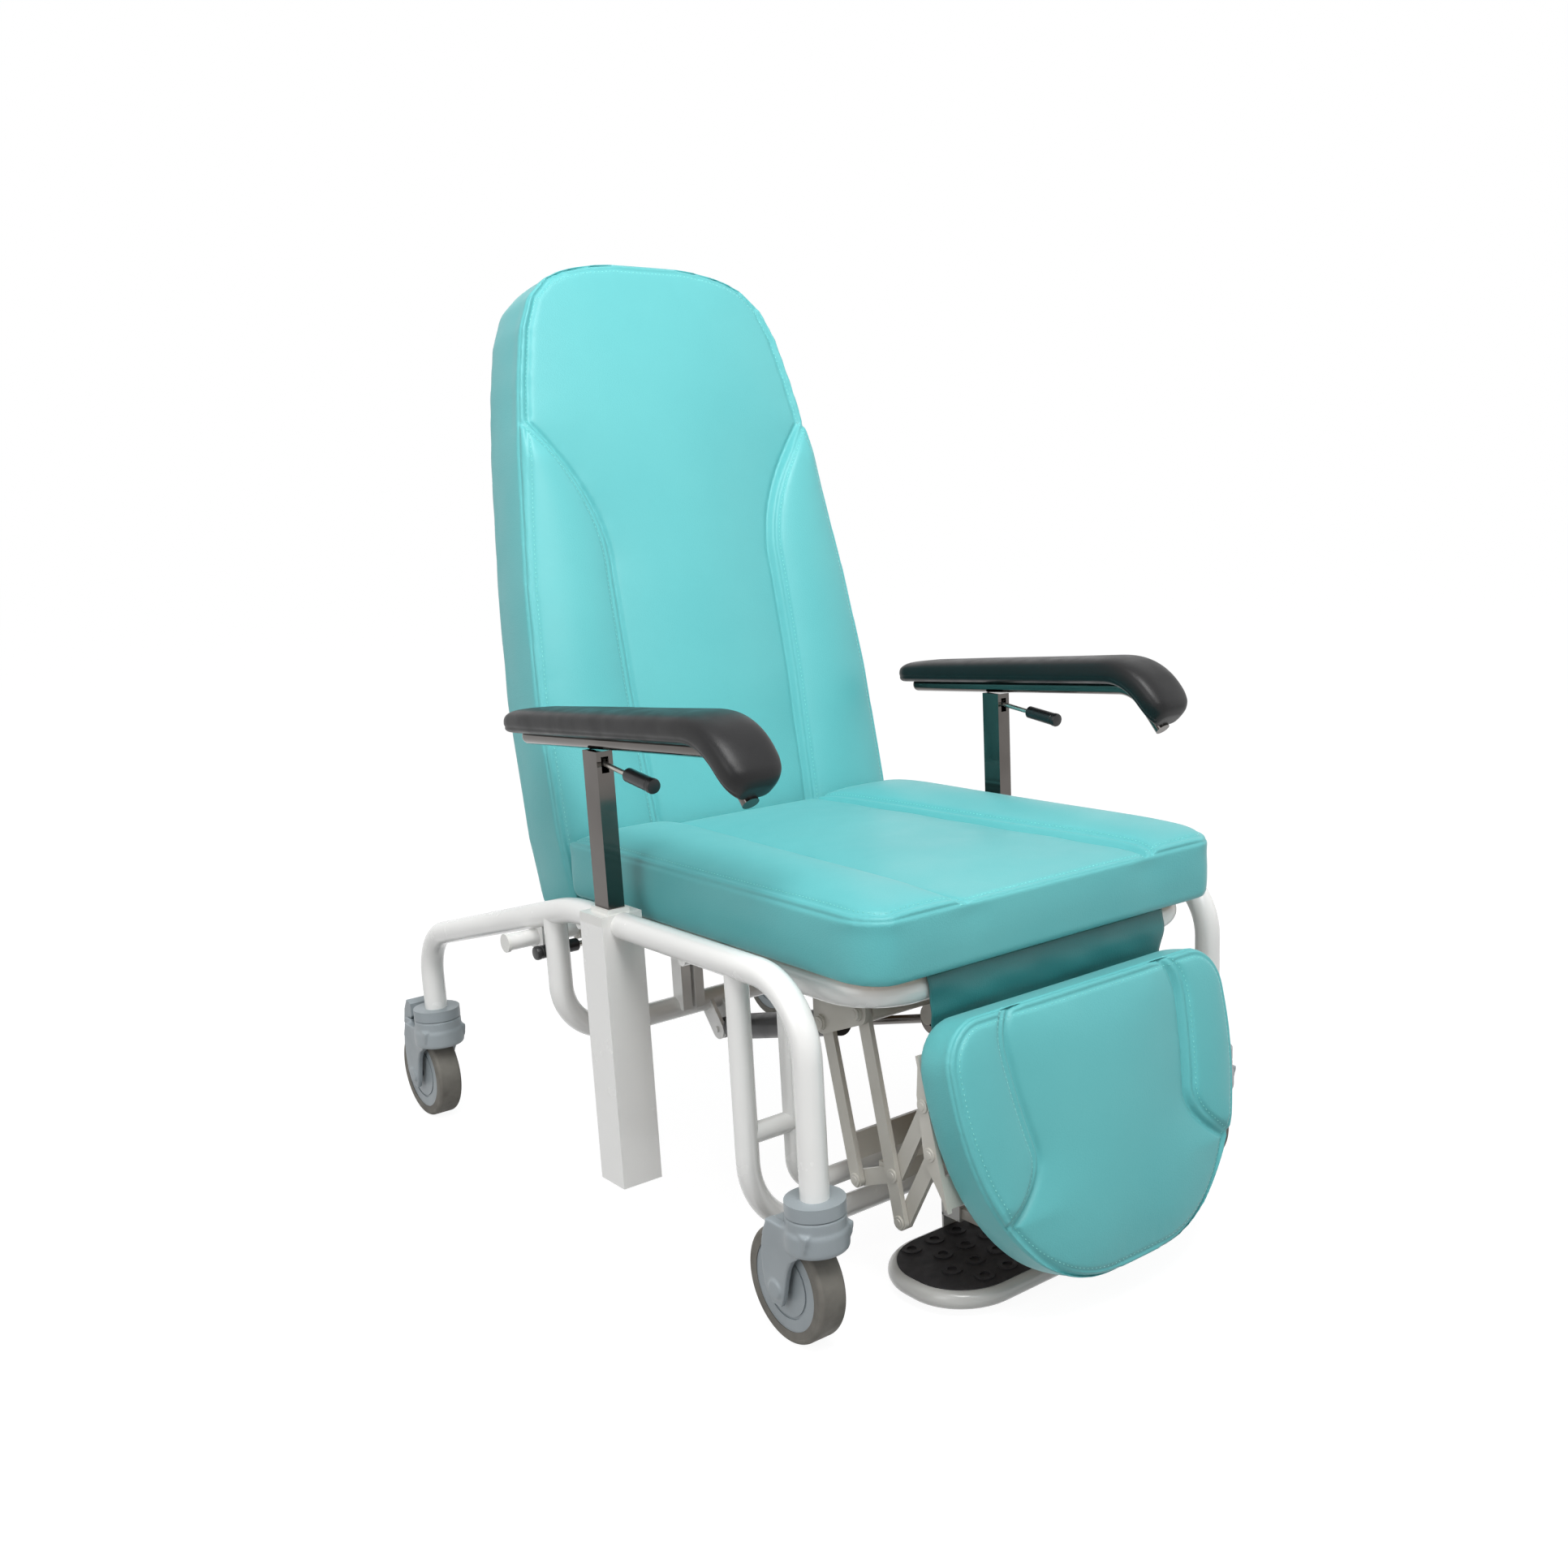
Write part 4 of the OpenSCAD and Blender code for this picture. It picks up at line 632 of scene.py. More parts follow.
def stuff(pad, cushion):
    only(pad)
    pad.data.remesh_voxel_size = cushion["voxel"]
    bpy.ops.object.voxel_remesh()
    start = points_of(pad)
    z = start[:, 2]
    face = z > -face_share * cushion["depth"]
    channels = channel_tree(cushion, channel_shift, hold_step)
    from_rim = np.hypot(distances(flat_tree([rim_line(cushion)]), start), z)
    held = np.clip((-z / cushion["depth"] - board_share) / board_fade, 0, 1)
    near_channel = np.clip(hold_reach - distances(channels, start) / hold_channel, 0, 1) * face
    near_rim = np.clip(hold_reach - from_rim / hold_seam, 0, 1) * seam_hold
    held = np.maximum(held, np.maximum(near_channel * channel_hold, near_rim))
    group = pad.vertex_groups.new(name="held")
    for i, w in enumerate(held):
        if w > 0:
            group.add([i], float(w), "REPLACE")
    cloth = pad.modifiers.new("cloth", "CLOTH")
    cloth.settings.use_pressure = True
    cloth.settings.uniform_pressure_force = pressure
    cloth.settings.vertex_group_mass = "held"
    cloth.settings.quality = cloth_quality
    cloth.settings.tension_stiffness = cloth_stiffness
    cloth.settings.compression_stiffness = cloth_stiffness
    cloth.settings.bending_stiffness = cloth_bending
    cloth.settings.effector_weights.gravity = 0
    cloth.point_cache.frame_start = 1
    cloth.point_cache.frame_end = swell_frames
    for step in range(1, swell_frames + 1):
        scene.frame_set(step)
    bpy.ops.object.modifier_apply(modifier="cloth")
    scene.frame_set(1)
    pad.vertex_groups.clear()
    moved = points_of(pad) - start
    far = np.linalg.norm(moved, axis=1)
    moved *= (np.minimum(far, swell_cap) / np.maximum(far, tiny))[:, None]
    set_points(pad, start + moved)
    print(pad.name, "swelled by up to", round(float(far.max()) / mm, 1), "mm")
    eased(pad, vinyl_ease)
    subdivided(pad)


# %% [markdown]
# ## Seams and channels
# A sewn seam is a narrow valley with a row of stitches beside it. The valleys are pressed
# into the finer skin along the seam lines. Thread is far finer than the skin, so each
# stitch is a small piece of its own that is set on the skin where a ray finds it.

# %% Press the seams and sew the stitches
seam_inset = 0.0085
strip_width = 0.0115
# Each valley's width and depth: a strip's inner and outer seam, the face's edge, the welt.
inner_seam, outer_seam = (0.0040, 0.0042), (0.0034, 0.0032)
edge_seam, welt_seam = (0.0026, 0.0017), (0.0026, 0.0019)
refine_reach, refine_floor = 0.0075, -0.012
upward_from, upward_over = 0.2, 0.4
stitch_pitch = 0.0056
stitch_length = 0.0040
stitch_width = 0.0011
stitch_height = 0.0007
stitch_sink = 0.4
stitch_beside_strip, stitch_beside_edge = 0.0028, 0.0022
ray_height, steepest = 0.1, 0.15


def valley(distance, width, depth):
    return depth * np.exp(-((distance / width) ** 2))


def refine(pad, lines):
    """Halves the faces near some lines, so that a narrow seam has points to bend."""
    co = points_of(pad)
    near = (distances(flat_tree(lines), co) < refine_reach) & (co[:, 2] > refine_floor)
    only(pad)
    select_where(pad, "FACE", lambda face: all(near[vert.index] for vert in face.verts))
    bpy.ops.mesh.subdivide(number_cuts=1, smoothness=0)
    enter("OBJECT")


def press_seams(pad, cushion):
    sewn_lines = [even(channel_line(cushion, side, shift), refine_step)
                  for side in both_sides for shift in (0, strip_width)]
    refine(pad, sewn_lines + [rim_line(cushion, seam_inset), rim_line(cushion)])
    co = points_of(pad)
    normals = np.empty(len(co) * 3)
    pad.data.vertices.foreach_get("normal", normals)
    normals = normals.reshape(-1, 3)
    up_facing = np.clip((normals[:, 2] - upward_from) / upward_over, 0, 1)
    first = distances(channel_tree(cushion, 0, valley_step), co)
    second = distances(channel_tree(cushion, strip_width, valley_step), co)
    sewn = distances(flat_tree([rim_line(cushion, seam_inset)]), co)
    rim = np.hypot(distances(flat_tree([rim_line(cushion)]), co), co[:, 2])
    down = valley(first, *inner_seam) + valley(second, *outer_seam)
    down = np.maximum(down, valley(sewn, *edge_seam)) * up_facing
    co[:, 2] -= down
    co -= normals * valley(rim, *welt_seam)[:, None]
    set_points(pad, co)


def sew(name, pad, lines):
    """Stitches along lines on the flat, dropped onto the pad's face."""
    skin = bmesh.new()
    skin.from_mesh(pad.data)
    tree = BVHTree.FromBMesh(skin)
    skin.free()
    thread = bmesh.new()
    count = 0
    for line in lines:
        line = even(line, stitch_pitch)
        for here, there in zip(line[:-1], line[1:]):
            hit, normal, _, _ = tree.ray_cast(Vector((*here, ray_height)), Vector((0, 0, -1)))
            if hit is None or normal.z < steepest:
                continue
            along = Vector((*(there - here), 0))
            along = (along - normal * along.dot(normal)).normalized()
            across = normal.cross(along)
            ends = [hit + along * stitch_length * s for s in (-0.5, 0.5)]
            low, high = (thread.verts.new(e - normal * stitch_height * stitch_sink) for e in ends)
            ring = [thread.verts.new(hit + across * a * stitch_width / 2
                                     + normal * n * stitch_height)
                    for a, n in ((-1, 0), (0, 1), (1, 0), (0, -1))]
            for k in range(4):
                thread.faces.new((low, ring[(k + 1) % 4], ring[k]))
                thread.faces.new((high, ring[k], ring[(k + 1) % 4]))
            count += 1
    bmesh.ops.recalc_face_normals(thread, faces=thread.faces)
    print(name, "stitches:", count)
    return object_from(thread, name)


def upholster(kind, cushion):
    pad = pad_blank(kind + "_pad", cushion)
    stuff(pad, cushion)
    press_seams(pad, cushion)
    lines = [channel_line(cushion, side, strip_width + stitch_beside_strip) for side in both_sides]
    lines.append(rim_line(cushion, seam_inset + stitch_beside_edge))
    stitches = sew(kind + "_stitches", pad, lines)
    for obj, nodes, paint in ((pad, cushion["nodes"], None), (stitches, (), stitch_thread)):
        obj.data.transform(cushion["place"])
        only(obj)
        bpy.ops.object.shade_smooth()
        dress(obj, "turquoise_vinyl", cushion["body"], *nodes, paint=paint)
    print(pad.name, "faces:", len(pad.data.polygons))


for kind, cushion in cushions.items():
    upholster(kind, cushion)

# %% [markdown]
# ## Arm pads
# The arm pads are foam moulded with its own tough skin: slim at the rear, thicker
# towards the hand, and curved down over the nose. Such a form is easiest as a row of
# rounded sections along the carrier, so it is lofted; a fine line shows the mould's seam.

# %% Loft the arm pads
sides = (("right", -1), ("left", 1))
arm_x = 0.3
post_y, post_top_z = -0.077, 0.574
post_half = 0.015
carrier_radius, carrier_gap = 0.009, 0.00005
arm_rise = math.radians(3)
arm_way = Vector((0, -math.cos(arm_rise), math.sin(arm_rise)))
arm_lift = Vector((0, math.sin(arm_rise), math.cos(arm_rise)))
carrier_z = (post_top_z + carrier_gap + carrier_radius / math.cos(arm_rise)
             + post_half * math.tan(arm_rise))
pad_under = 0.0040
pad_tail = 0.034
bend_y = -0.298
bend_radius = 0.056
pad_back_y = 0.098
pad_profile = ((0.00, 0.50, 0.55), (0.015, 0.74, 0.76), (0.04, 0.86, 0.88), (0.12, 0.93, 0.95),
               (0.35, 0.97, 1.00), (0.62, 1.00, 1.04), (0.80, 1.03, 1.08), (0.90, 1.02, 1.12),
               (0.95, 0.97, 1.14), (0.975, 0.88, 1.08), (0.992, 0.70, 0.92), (1.00, 0.48, 0.62))
pad_wide, pad_thick = 0.070, 0.0325
pad_sections, section_points, section_power = 96, 40, 0.62
foam_ease = 8
least_rise, under_share = 0.3, 0.94
nose_angle = math.radians(52)
# The mould's line: its stations, height and reach as shares of the pad, depth and width.
line_stations = 240
line_height, line_reach = 0.30, 0.6
line_depth, line_width = 0.0011, 0.0014


def axis_start(x, y):
    """The point of the carrier's straight axis at a given y."""
    return Vector((x, y, carrier_z - (y - post_y) * math.tan(arm_rise)))


def arm_line(u):
    """A point on the pad's underside, and the way up from it, u from rear to nose."""
    start = axis_start(0, pad_back_y)
    straight = (pad_back_y - bend_y) / math.cos(arm_rise)
    arc = nose_angle * (bend_radius + pad_under)
    run = u * (straight + arc + pad_tail)
    if run <= straight:
        return start + arm_way * run + arm_lift * pad_under, arm_lift
    angle = min(nose_angle, (run - straight) / (bend_radius + pad_under))
    centre = start + arm_way * straight - arm_lift * bend_radius
    lift = arm_lift * math.cos(angle) + arm_way * math.sin(angle)
    way = arm_way * math.cos(angle) - arm_lift * math.sin(angle)
    point = centre + lift * (bend_radius + pad_under)
    return point + way * max(0.0, run - straight - arc), lift


def arm_pad(side_name, x):
    form = bmesh.new()
    keys, widths, thicks = zip(*pad_profile)
    loops = []
    for j in range(pad_sections + 1):
        u = 0.5 - 0.5 * math.cos(math.pi * j / pad_sections)
        base, lift = arm_line(u)
        w = pad_wide * float(np.interp(u, keys, widths)) / 2
        t = pad_thick * float(np.interp(u, keys, thicks)) / 2
        middle = base + lift * max(t, least_rise * pad_thick)
        loop = []
        for k in range(section_points):
            a = 2 * math.pi * k / section_points
            c, s = math.cos(a), math.sin(a)
            across = math.copysign(abs(c) ** section_power, c) * w
            above = math.copysign(abs(s) ** section_power, s) * t
            above *= under_share if s < 0 else 1
            loop.append(form.verts.new(middle + Vector((across, 0, 0)) + lift * above))
        loops.append(loop)
    for one, two in zip(loops[:-1], loops[1:]):
        for k in range(section_points):
            n = (k + 1) % section_points
            form.faces.new((one[k], one[n], two[n], two[k]))
    for loop in (loops[0], loops[-1]):
        middle = form.verts.new(sum((v.co for v in loop), Vector()) / len(loop))
        for k in range(section_points):
            form.faces.new((loop[k], loop[(k + 1) % section_points], middle))
    bmesh.ops.recalc_face_normals(form, faces=form.faces)
    pad = object_from(form, "arm_pad_foam_" + side_name)
    eased(pad, foam_ease)
    subdivided(pad)
    bpy.ops.object.shade_smooth()
    mould_line(pad)
    pad.data.transform(Matrix.Translation((x, 0, 0)))
    dress(pad, "black_foam", "armrest_" + side_name, "arm_pad_" + side_name)
    print(pad.name, "faces:", len(pad.data.polygons))


def mould_line(pad):
    """A shallow line round the pad, a third of the way up its side."""
    co = points_of(pad)
    stations = [arm_line(j / line_stations) for j in range(line_stations + 1)]
    rail = KDTree(len(stations))
    for j, (point, _) in enumerate(stations):
        rail.insert((0, point.y, point.z), j)
    rail.balance()
    for i, (x, y, z) in enumerate(co):
        point, lift = stations[rail.find((0, y, z))[1]]
        height = (Vector((0, y, z)) - point).dot(lift)
        if abs(x) > line_reach * pad_wide / 2:
            groove = valley(height - line_height * pad_thick, line_width, line_depth)
            co[i][0] -= math.copysign(groove, x)
    set_points(pad, co)


for side_name, side in sides:
    arm_pad(side_name, side * arm_x)

# %% [markdown]
# ## Turned and moulded pieces
# Knobs, caps, rivets and caster heads are turned shapes: a disc is extruded upwards ring
# by ring, and each ring is scaled to its radius. A moulding that has soft corners all
# over is put together from such pieces, remeshed to one skin and eased.

# %% Helpers for turned and moulded pieces
first_slice = 0.004
faces_down = -0.9


def end_edit():
    """Turns all faces of the edited mesh outwards and leaves edit mode."""
    bpy.ops.mesh.select_all(action="SELECT")
    bpy.ops.mesh.normals_make_consistent(inside=False)
    enter("OBJECT")


def extrude_by(step):
    bpy.ops.mesh.extrude_region_move(TRANSFORM_OT_translate={"value": step})


def shade_edges(piece, degrees):
    """Smooth shading, but for edges sharper than an angle."""
    only(piece)
    bpy.ops.object.shade_smooth_by_angle(angle=math.radians(degrees))


def disc(name, steps, radius, place):
    """A disc that is ready to be extruded, in edit mode."""
    bpy.ops.object.select_all(action="DESELECT")
    bpy.ops.mesh.primitive_circle_add(vertices=steps, radius=radius, fill_type="NGON")
    piece = bpy.context.object
    piece.name = name
    piece.data.transform(place)
    enter("EDIT")
    bpy.ops.mesh.select_all(action="SELECT")
    return piece


def turned_piece(name, rings, steps, matrix=None):
    """A disc extruded up through rings of (radius, height), in metres."""
    radius, height = rings[0]
    piece = disc(name, steps, radius, Matrix.Translation((0, 0, height)))
    for next_radius, next_height in rings[1:]:
        extrude_by((0, 0, next_height - height))
        share = next_radius / radius
        bpy.ops.transform.resize(value=(share, share, 1), center_override=(0, 0, next_height))
        radius, height = next_radius, next_height
    end_edit()
    if matrix is not None:
        piece.data.transform(matrix)
    return piece


def block_piece(name, low, high):
    """A box primitive between two corners."""
    low, high = Vector(low), Vector(high)
    bpy.ops.object.select_all(action="DESELECT")
    bpy.ops.mesh.primitive_cube_add(size=1, location=(low + high) / 2, scale=high - low)
    piece = bpy.context.object
    piece.name = name
    bpy.ops.object.transform_apply(location=True, rotation=True, scale=True)
    return piece


def swept_block(name, x0, x1, slices):
    """A slab from x0 to x1, whose lower end is extruded through slices.

    Each slice is its height, where its width begins and ends, and how far its face stands out.
    """
    z, y0, y1, out = slices[0]
    piece = block_piece(name, (x0, y0, z), (x1 + out, y1, z + first_slice))
    select_where(piece, "FACE", lambda face: face.normal.z < faces_down)
    width, middle, thick = y1 - y0, (y0 + y1) / 2, x1 + out - x0
    for next_z, next_y0, next_y1, next_out in slices[1:]:
        next_width, next_middle = next_y1 - next_y0, (next_y0 + next_y1) / 2
        next_thick = x1 + next_out - x0
        extrude_by((0, next_middle - middle, next_z - z))
        bpy.ops.transform.resize(value=(next_thick / thick, next_width / width, 1),
                                 center_override=(x0, next_middle, next_z))
        z, width, middle, thick = next_z, next_width, next_middle, next_thick
    end_edit()
    return piece


def joined(name, parts):
    only(parts[0])
    for part in parts[1:]:
        part.select_set(True)
    bpy.ops.object.join()
    made = bpy.context.object
    made.name = name
    made.data.name = name
    return made


def moulded(piece, voxel, ease_steps):
    """One skin with soft corners, as a moulding has."""
    apply_modifier(piece, "REMESH", mode="VOXEL", voxel_size=voxel)
    eased(piece, ease_steps)
    bpy.ops.object.shade_smooth()


def cut_away(piece, cutter):
    apply_modifier(piece, "BOOLEAN", operation="DIFFERENCE", solver="EXACT", object=cutter)
    bpy.data.objects.remove(cutter)


def flipped(piece, name):
    """A copy of a piece beyond the middle plane, with its faces turned out again."""
    only(piece)
    bpy.ops.object.duplicate()
    twin = bpy.context.object
    twin.name = name
    twin.data.transform(Matrix.Scale(-1, 4, (1, 0, 0)))
    enter("EDIT")
    bpy.ops.mesh.select_all(action="SELECT")
    bpy.ops.mesh.flip_normals()
    enter("OBJECT")
    return twin


# %% [markdown]
# ## Arm carriers
# Under each pad runs a bent steel tube, plated, with its top sunk in the foam. It is
# bent from one length: here its end ring is extruded along the straight and turned
# step by step round the bend. Its rear end is rounded, and its front end is cut square.

# %% Bend the arm carriers
carrier_back_y = 0.084
carrier_steps, bend_steps = 28, 12
carrier_tail = pad_tail + 0.002
# The rounded end: the share of the radius it starts with, then how far on and how much wider.
end_share = 0.55
end_rings = ((0.0008, 1.5), (0.0018, 1.155), (0.0026, 1.05))
end_length = 0.0052


def carrier_tube(side_name, x):
    start = axis_start(x, carrier_back_y)
    straight = (carrier_back_y - bend_y) / math.cos(arm_rise)
    centre = start + arm_way * straight - arm_lift * bend_radius
    place = Matrix.Translation(start) @ Matrix.Rotation(math.pi / 2 - arm_rise, 4, "X")
    tube = disc("arm_carrier_tube_" + side_name, carrier_steps, carrier_radius * end_share, place)
    at = start
    for ahead_by, grown in end_rings:
        extrude_by(arm_way * ahead_by)
        at = at + arm_way * ahead_by
        bpy.ops.transform.resize(value=(grown, grown, grown), center_override=at)
    extrude_by(arm_way * (straight - end_length))
    for _ in range(bend_steps):
        extrude_by((0, 0, 0))
        bpy.ops.transform.rotate(value=-nose_angle / bend_steps, orient_axis="X",
                                 orient_type="GLOBAL", center_override=centre)
    down = nose_angle - arm_rise
    extrude_by(Vector((0, -math.cos(down), -math.sin(down))) * carrier_tail)
    end_edit()
    return tube


for side_name, side in sides:
    tube = carrier_tube(side_name, side * arm_x)
    low = min((v.co.z, v.co.y) for v in tube.data.vertices)
    print(tube.name, "ends at", [round(c, 3) for c in low])
    shade_edges(tube, 40)
    dress(tube, "chrome", "armrest_" + side_name, "arm_carrier_" + side_name)

# %% [markdown]
# ## Caster housings
# The real housing is one grey moulding: a round head with a wider skirt, which runs back
# as a hood over the wheel and down as a leaf-shaped cheek on each side of the hub. It is
# put together from turned and extruded pieces, cut free of the wheel, and remeshed.

# %% Make one housing and copy it to the four corners
stem_x, stem_y = 0.3, 0.436
sideways = Matrix.Rotation(math.pi / 2, 4, "Y")
on_axle = Matrix.Translation((0, 0.038, 0.0625)) @ sideways
head_rings = ((0.0305, 0.1125), (0.0325, 0.1145), (0.0330, 0.118), (0.0330, 0.133),
              (0.0322, 0.1358), (0.0311, 0.1372), (0.0311, 0.1485), (0.0295, 0.1505))
hood_low, hood_high = (-0.026, 0.0, 0.116), (0.026, 0.047, 0.1368)
cheek_inner, cheek_outer = 0.020, 0.0252
cheek_slices = ((0.134, -0.022, 0.046, 0.0050), (0.122, -0.019, 0.052, 0.0045),
                (0.112, -0.008, 0.056, 0.0035), (0.102, 0.008, 0.0585, 0.0028),
                (0.090, 0.016, 0.0600, 0.0022), (0.076, 0.0205, 0.0595, 0.0020),
                (0.064, 0.0235, 0.0575, 0.0020), (0.053, 0.0270, 0.0530, 0.0015),
                (0.044, 0.0320, 0.0470, 0.0010))
bolt_rings = ((0.0105, 0.0), (0.0105, 0.0285), (0.0088, 0.0298))
ear_places, ear_thick = (-0.0236, 0.0196), 0.0040
ear_y, ear_z = (0.040, 0.0600), (0.1298, 0.1422)
wheel_gap = ((0.0655, -0.0190), (0.0655, 0.0190))
housing_voxel, housing_ease = 0.0014, 3


def caster_housing(with_ears):
    head = turned_piece("head", head_rings, 48)
    hood = block_piece("hood", hood_low, hood_high)
    cheek = swept_block("cheek", cheek_inner, cheek_outer, cheek_slices)
    twin = flipped(cheek, "cheek_twin")
    bolt = turned_piece("bolt", bolt_rings, 28, on_axle)
    parts = [head, hood, cheek, twin, bolt, flipped(bolt, "bolt_twin")]
    if with_ears:
        parts += [block_piece("pedal_ear", (x, ear_y[0], ear_z[0]),
                              (x + ear_thick, ear_y[1], ear_z[1])) for x in ear_places]
    housing = joined("housing", parts)
    moulded(housing, housing_voxel, housing_ease)
    cut_away(housing, turned_piece("wheel_space", wheel_gap, 64, on_axle))
    return housing


for end_name, end in (("front", -1), ("rear", 1)):
    housing = caster_housing(with_ears=end > 0)
    print("caster housing faces:", len(housing.data.polygons))
    for side_name, side in sides:
        only(housing)
        bpy.ops.object.duplicate()
        copy = bpy.context.object
        copy.name = f"caster_housing_{end_name}_{side_name}"
        copy.data.transform(Matrix.Translation((side * stem_x, end * stem_y, 0)))
        body = f"fork_{end_name}_{side_name}"
        dress(copy, "grey_plastic", body, body)
    bpy.data.objects.remove(housing)

# %% [markdown]
# ## Levers
# Each lever is a thin steel rod with a black grip pushed on its end. The grip is turned,
# with a slightly wider end cap. The finishes go on face by face, so a lever is one piece.

# %% Turn the levers
grip_rings = ((0.0066, 0.0), (0.0079, 0.0016), (0.0080, 0.0330), (0.0072, 0.0338),
              (0.0072, 0.0346), (0.0085, 0.0356), (0.0086, 0.0392), (0.0078, 0.0410),
              (0.0040, 0.0418))
grip_middle, grip_overlap = 0.02, 0.001
# Each kind of lever: its rod's radius and length, what its grip has extra, and its boss.
arm_lever = (0.0030, 0.064, 0.0110, (0.0045, 0.0070))
back_lever = (0.0035, 0.039, 0.0155, (0.0078, 0.0046))
arm_lever_drop, lever_fall = 0.012, math.radians(8)
back_lever_place = (-0.224, 0.0795, 0.316)


def stretched(rings, extra):
    """The same turned outline with its plain middle made longer."""
    return tuple((r, h + (extra if h > grip_middle else 0.0)) for r, h in rings)


def lever_piece(name, body, sizes, matrix):
    """A lever that takes the place of the CAD node with its body's name."""
    rod_radius, rod_to, grip_extra, (boss_radius, boss_half) = sizes
    rod = turned_piece(name, ((rod_radius, 0.0), (rod_radius, rod_to)), 24)
    hub = turned_piece("hub", ((boss_radius, -boss_half), (boss_radius, boss_half)), 28, sideways)
    grip = turned_piece("grip", stretched(grip_rings, grip_extra), 28,
                        Matrix.Translation((0, 0, rod_to - grip_overlap)))
    paint_with(rod, bright_steel)
    paint_with(hub, bright_steel)
    paint_with(grip, finishes["black_plastic"])
    lever = joined(name, [rod, hub, grip])
    lever.data.transform(matrix)
    shade_edges(lever, 35)
    carry(lever, "black_plastic", body, body)


for side_name, side in sides:
    place = (Matrix.Translation((side * arm_x, post_y, post_top_z - arm_lever_drop))
             @ Matrix.Rotation(lever_fall, 4, "X") @ Matrix.Rotation(math.pi / 2, 4, "X"))
    lever_piece("armrest_lever_" + side_name, "arm_lever_" + side_name, arm_lever, place)
place = Matrix.Translation(back_lever_place) @ Matrix.Rotation(-math.pi / 2, 4, "Y")
lever_piece("backrest_lever", "recline_lever", back_lever, place)
print("levers: 3")

# %% [markdown]
# ## Rivets of the linkage
# The flat bars of the legrest linkage turn on rivets with a flat round head and a small
# raised centre. One is turned for each pin, on the outer face of the bar that it rides on.

# %% Turn the rivets
rivet_rings = ((0.0072, 0.0), (0.0074, 0.0012), (0.0068, 0.0019), (0.0043, 0.0020),
               (0.0040, 0.0026), (0.0014, 0.0028))
bar_face, plate_face = 0.1995, 0.2080
rivet_places = {
    "lift_arms": ((-0.434, 0.155, bar_face), (-0.442, 0.106, bar_face)),
    "rear_rockers": ((-0.372, 0.131, bar_face),),
    "base": ((-0.395, 0.322, plate_face), (-0.333, 0.298, plate_face)),
    "legrest": ((-0.486, 0.245, bar_face), (-0.494, 0.196, bar_face)),
}
for body, places in rivet_places.items():
    heads = []
    for y, z, x in places:
        for side in both_sides:
            outward = Matrix.Rotation(side * math.pi / 2, 4, "Y")
            place = Matrix.Translation((side * x, y, z)) @ outward
            heads.append(turned_piece("rivet", rivet_rings, 20, place))
    rivets = joined(body + "_rivets", heads)
    shade_edges(rivets, 30)
    dress(rivets, "beige_steel", body)
print("rivets set:", sum(2 * len(p) for p in rivet_places.values()))

# %% [markdown]
# ## The foot plate
# A pale glossy plate with round ends and a full, rounded rim. A box is bevelled twice:
# first its four uprights with the corner radius, then its top and bottom edges. The two
# collars that slide on the legrest's rails are boxes with a square bore.

# %% Bevel the foot plate
plate_low, plate_high = (-0.183, -0.510, 0.008), (0.183, -0.352, 0.0278)
plate_corner, corner_cuts = 0.072, 18
plate_round, round_cuts = 0.0092, 5
upright_least, level_most = 0.005, 1e-5
rail_x, rail_z, rail_half, collar_half = 0.060, 0.052, 0.00625, 0.00925
collar_rear, collar_front = -0.358, -0.388
bore_overrun = 0.01
upright_thick, upright_sink = 0.003, 0.001


def climb(edge):
    return abs(edge.verts[0].co.z - edge.verts[1].co.z)


plate = block_piece("foot_plate_body", plate_low, plate_high)
select_where(plate, "EDGE", lambda edge: climb(edge) > upright_least)
bpy.ops.mesh.bevel(offset=plate_corner, segments=corner_cuts, profile=0.5, affect="EDGES")
select_where(plate, "EDGE", lambda edge: climb(edge) < level_most)
bpy.ops.mesh.bevel(offset=plate_round, segments=round_cuts, profile=0.5, affect="EDGES")
enter("OBJECT")
parts = [plate]
for side in both_sides:
    x = side * rail_x
    collar = block_piece("collar", (x - collar_half, collar_front, rail_z - collar_half),
                         (x + collar_half, collar_rear, rail_z + collar_half))
    bore = block_piece("bore", (x - rail_half, collar_front - bore_overrun, rail_z - rail_half),
                       (x + rail_half, collar_rear + bore_overrun, rail_z + rail_half))
    cut_away(collar, bore)
    upright_low = (x - collar_half, collar_rear - upright_thick, plate_high[2] - upright_sink)
    upright_high = (x + collar_half, collar_rear, rail_z - rail_half)
    upright = block_piece("upright", upright_low, upright_high)
    parts += [collar, upright]
plate = joined("foot_plate_body", parts)
shade_edges(plate, 30)
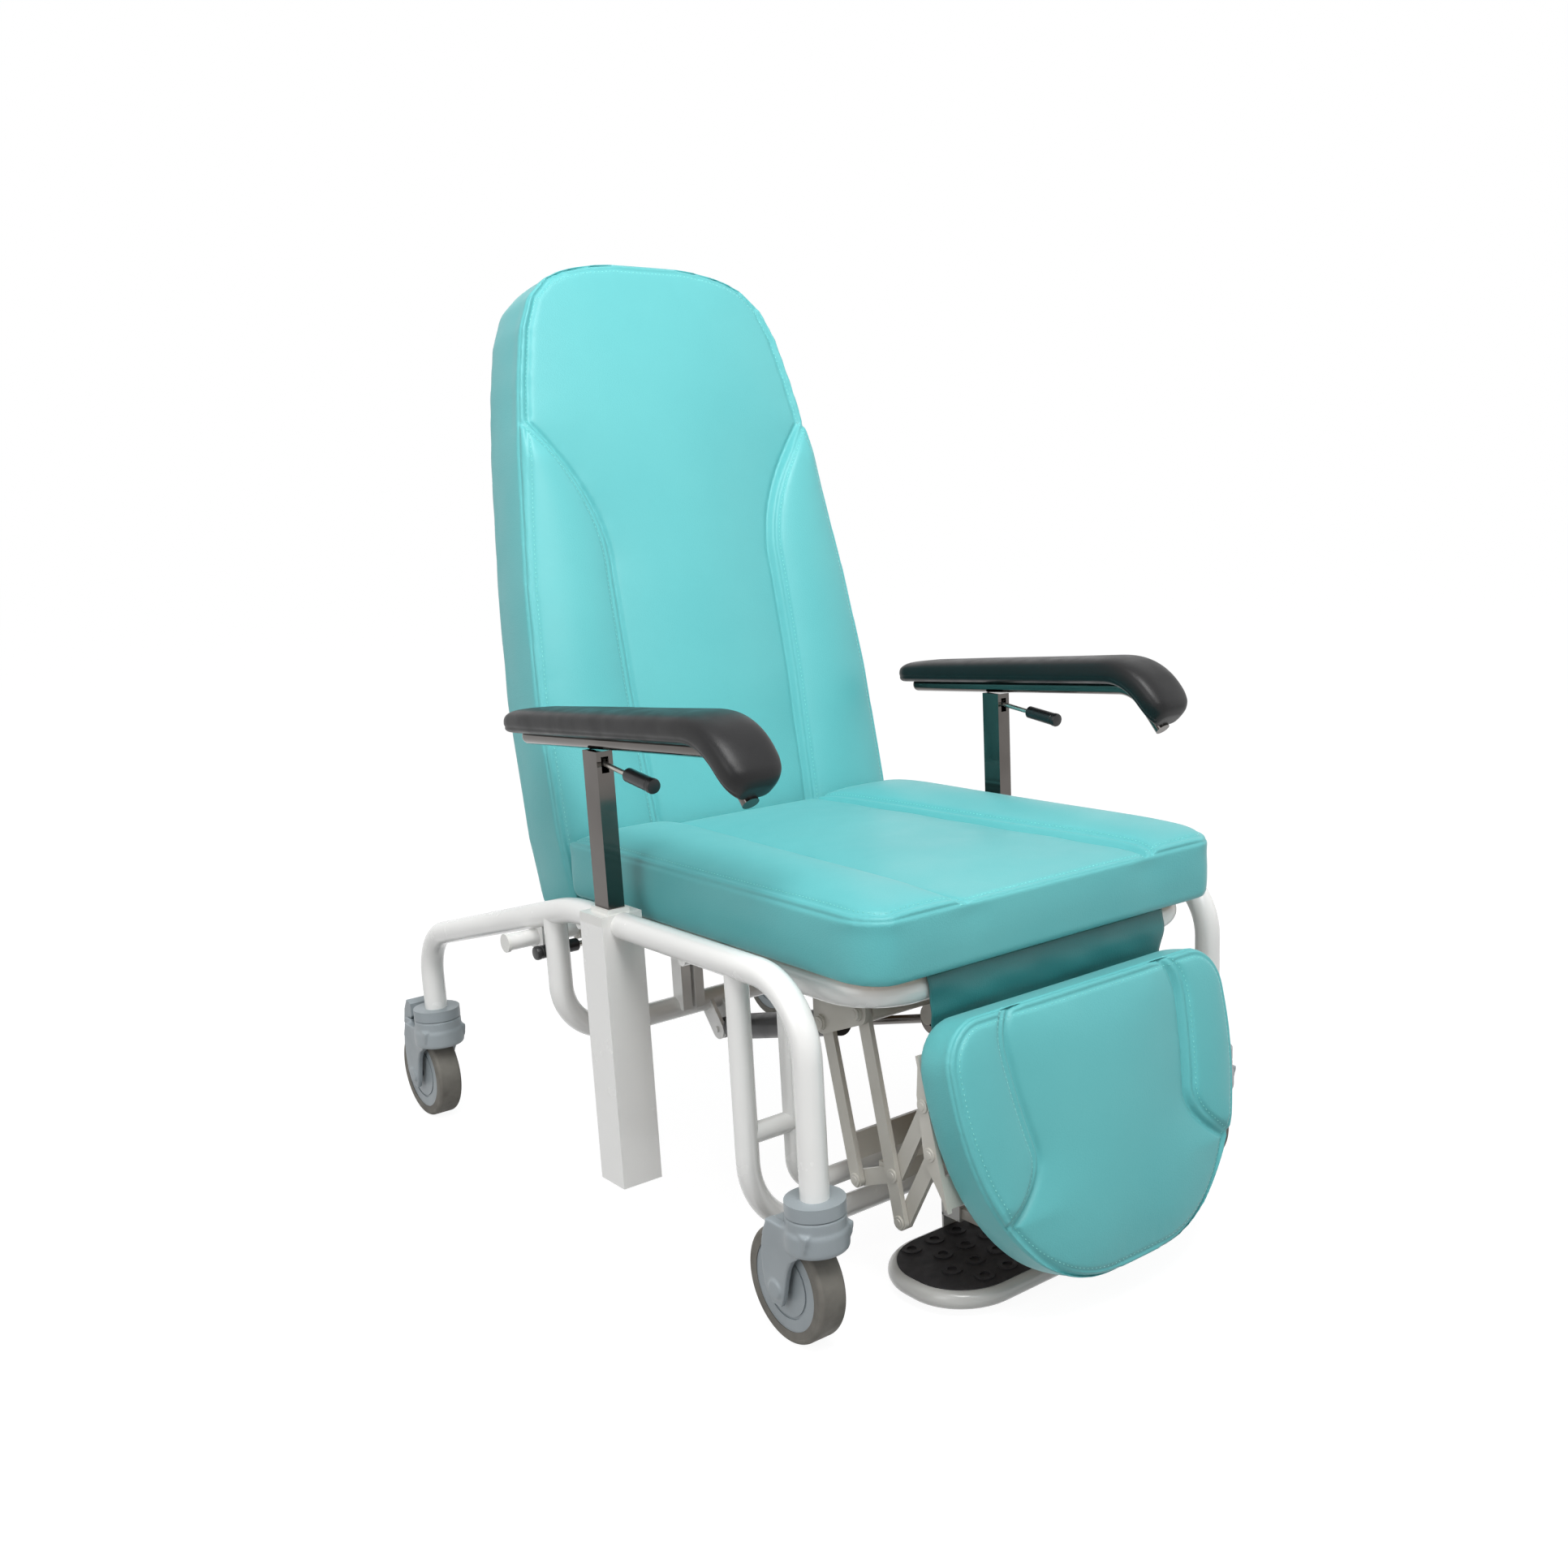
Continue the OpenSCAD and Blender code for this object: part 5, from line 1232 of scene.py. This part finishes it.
dress(plate, "pale_gloss", "foot_plate", "foot_plate")
print("foot plate faces:", len(plate.data.polygons))

# %% [markdown]
# ## The flap under the seat
# A strip of the same vinyl hangs from the seat board's front edge and tucks in behind
# the legrest, to close the gap. It is one sheet: stitched along its top, pushed out
# where it has slack, with soft folds that start at its ends. Its finish is the vinyl
# painted darker: painted shade from the seat above it.

# %% Hang the flap
flap_half, flap_top, flap_low = 0.176, 0.3712, 0.3050
flap_y, flap_bulge = -0.4702, 0.0046
flap_columns, flap_rows = 90, 22
flap_skin = 0.0011
flap_taper = 0.006
slack_rate, fold_rate = 1.35, 1.2
fold_width, fold_depth = 0.22, 0.0016
fold_down, fold_across = 9, 2.2
furthest_back = 0.0016
# Two ripples that cross: how deep, and how fast they run across and down.
ripples = ((0.0007, 7.3, 5), (0.0005, 15.1, -8))


def flap_point(u, v):
    """u from -1 to 1 across, v from 0 at the top to 1 at the hem."""
    z = flap_top + (flap_low - flap_top) * v
    run = v * slack_rate
    slack = math.sin(math.pi * run) if run < 1 else 0.0
    fold = math.exp(-((1 - abs(u)) / fold_width) ** 2)
    fold = fold * math.sin(fold_down * v + fold_across * u) * fold_depth
    ripple = sum(depth * math.sin(a * u + b * v) for depth, a, b in ripples)
    y = flap_y - flap_bulge * slack + (fold + ripple) * math.sin(math.pi * min(1, v * fold_rate))
    return Vector((u * (flap_half - flap_taper * v), min(y, flap_y + furthest_back), z))


sheet = bmesh.new()
grid = [[sheet.verts.new(flap_point(2 * i / flap_columns - 1, j / flap_rows))
         for i in range(flap_columns + 1)] for j in range(flap_rows + 1)]
for j in range(flap_rows):
    for i in range(flap_columns):
        sheet.faces.new((grid[j][i], grid[j + 1][i], grid[j + 1][i + 1], grid[j][i + 1]))
flap_area = sum(face.calc_area() for face in sheet.faces)
flap = object_from(sheet, "seat_front_flap")
apply_modifier(flap, "SOLIDIFY", thickness=flap_skin, offset=0)
bpy.ops.object.shade_smooth()
# The flap gets the darker copy of the vinyl: painted shade.
dress(flap, "turquoise_vinyl", "base", "front_flap", paint=flap_vinyl_painted_shade)
print("flap:", round(flap_area * 1e4), "square cm")
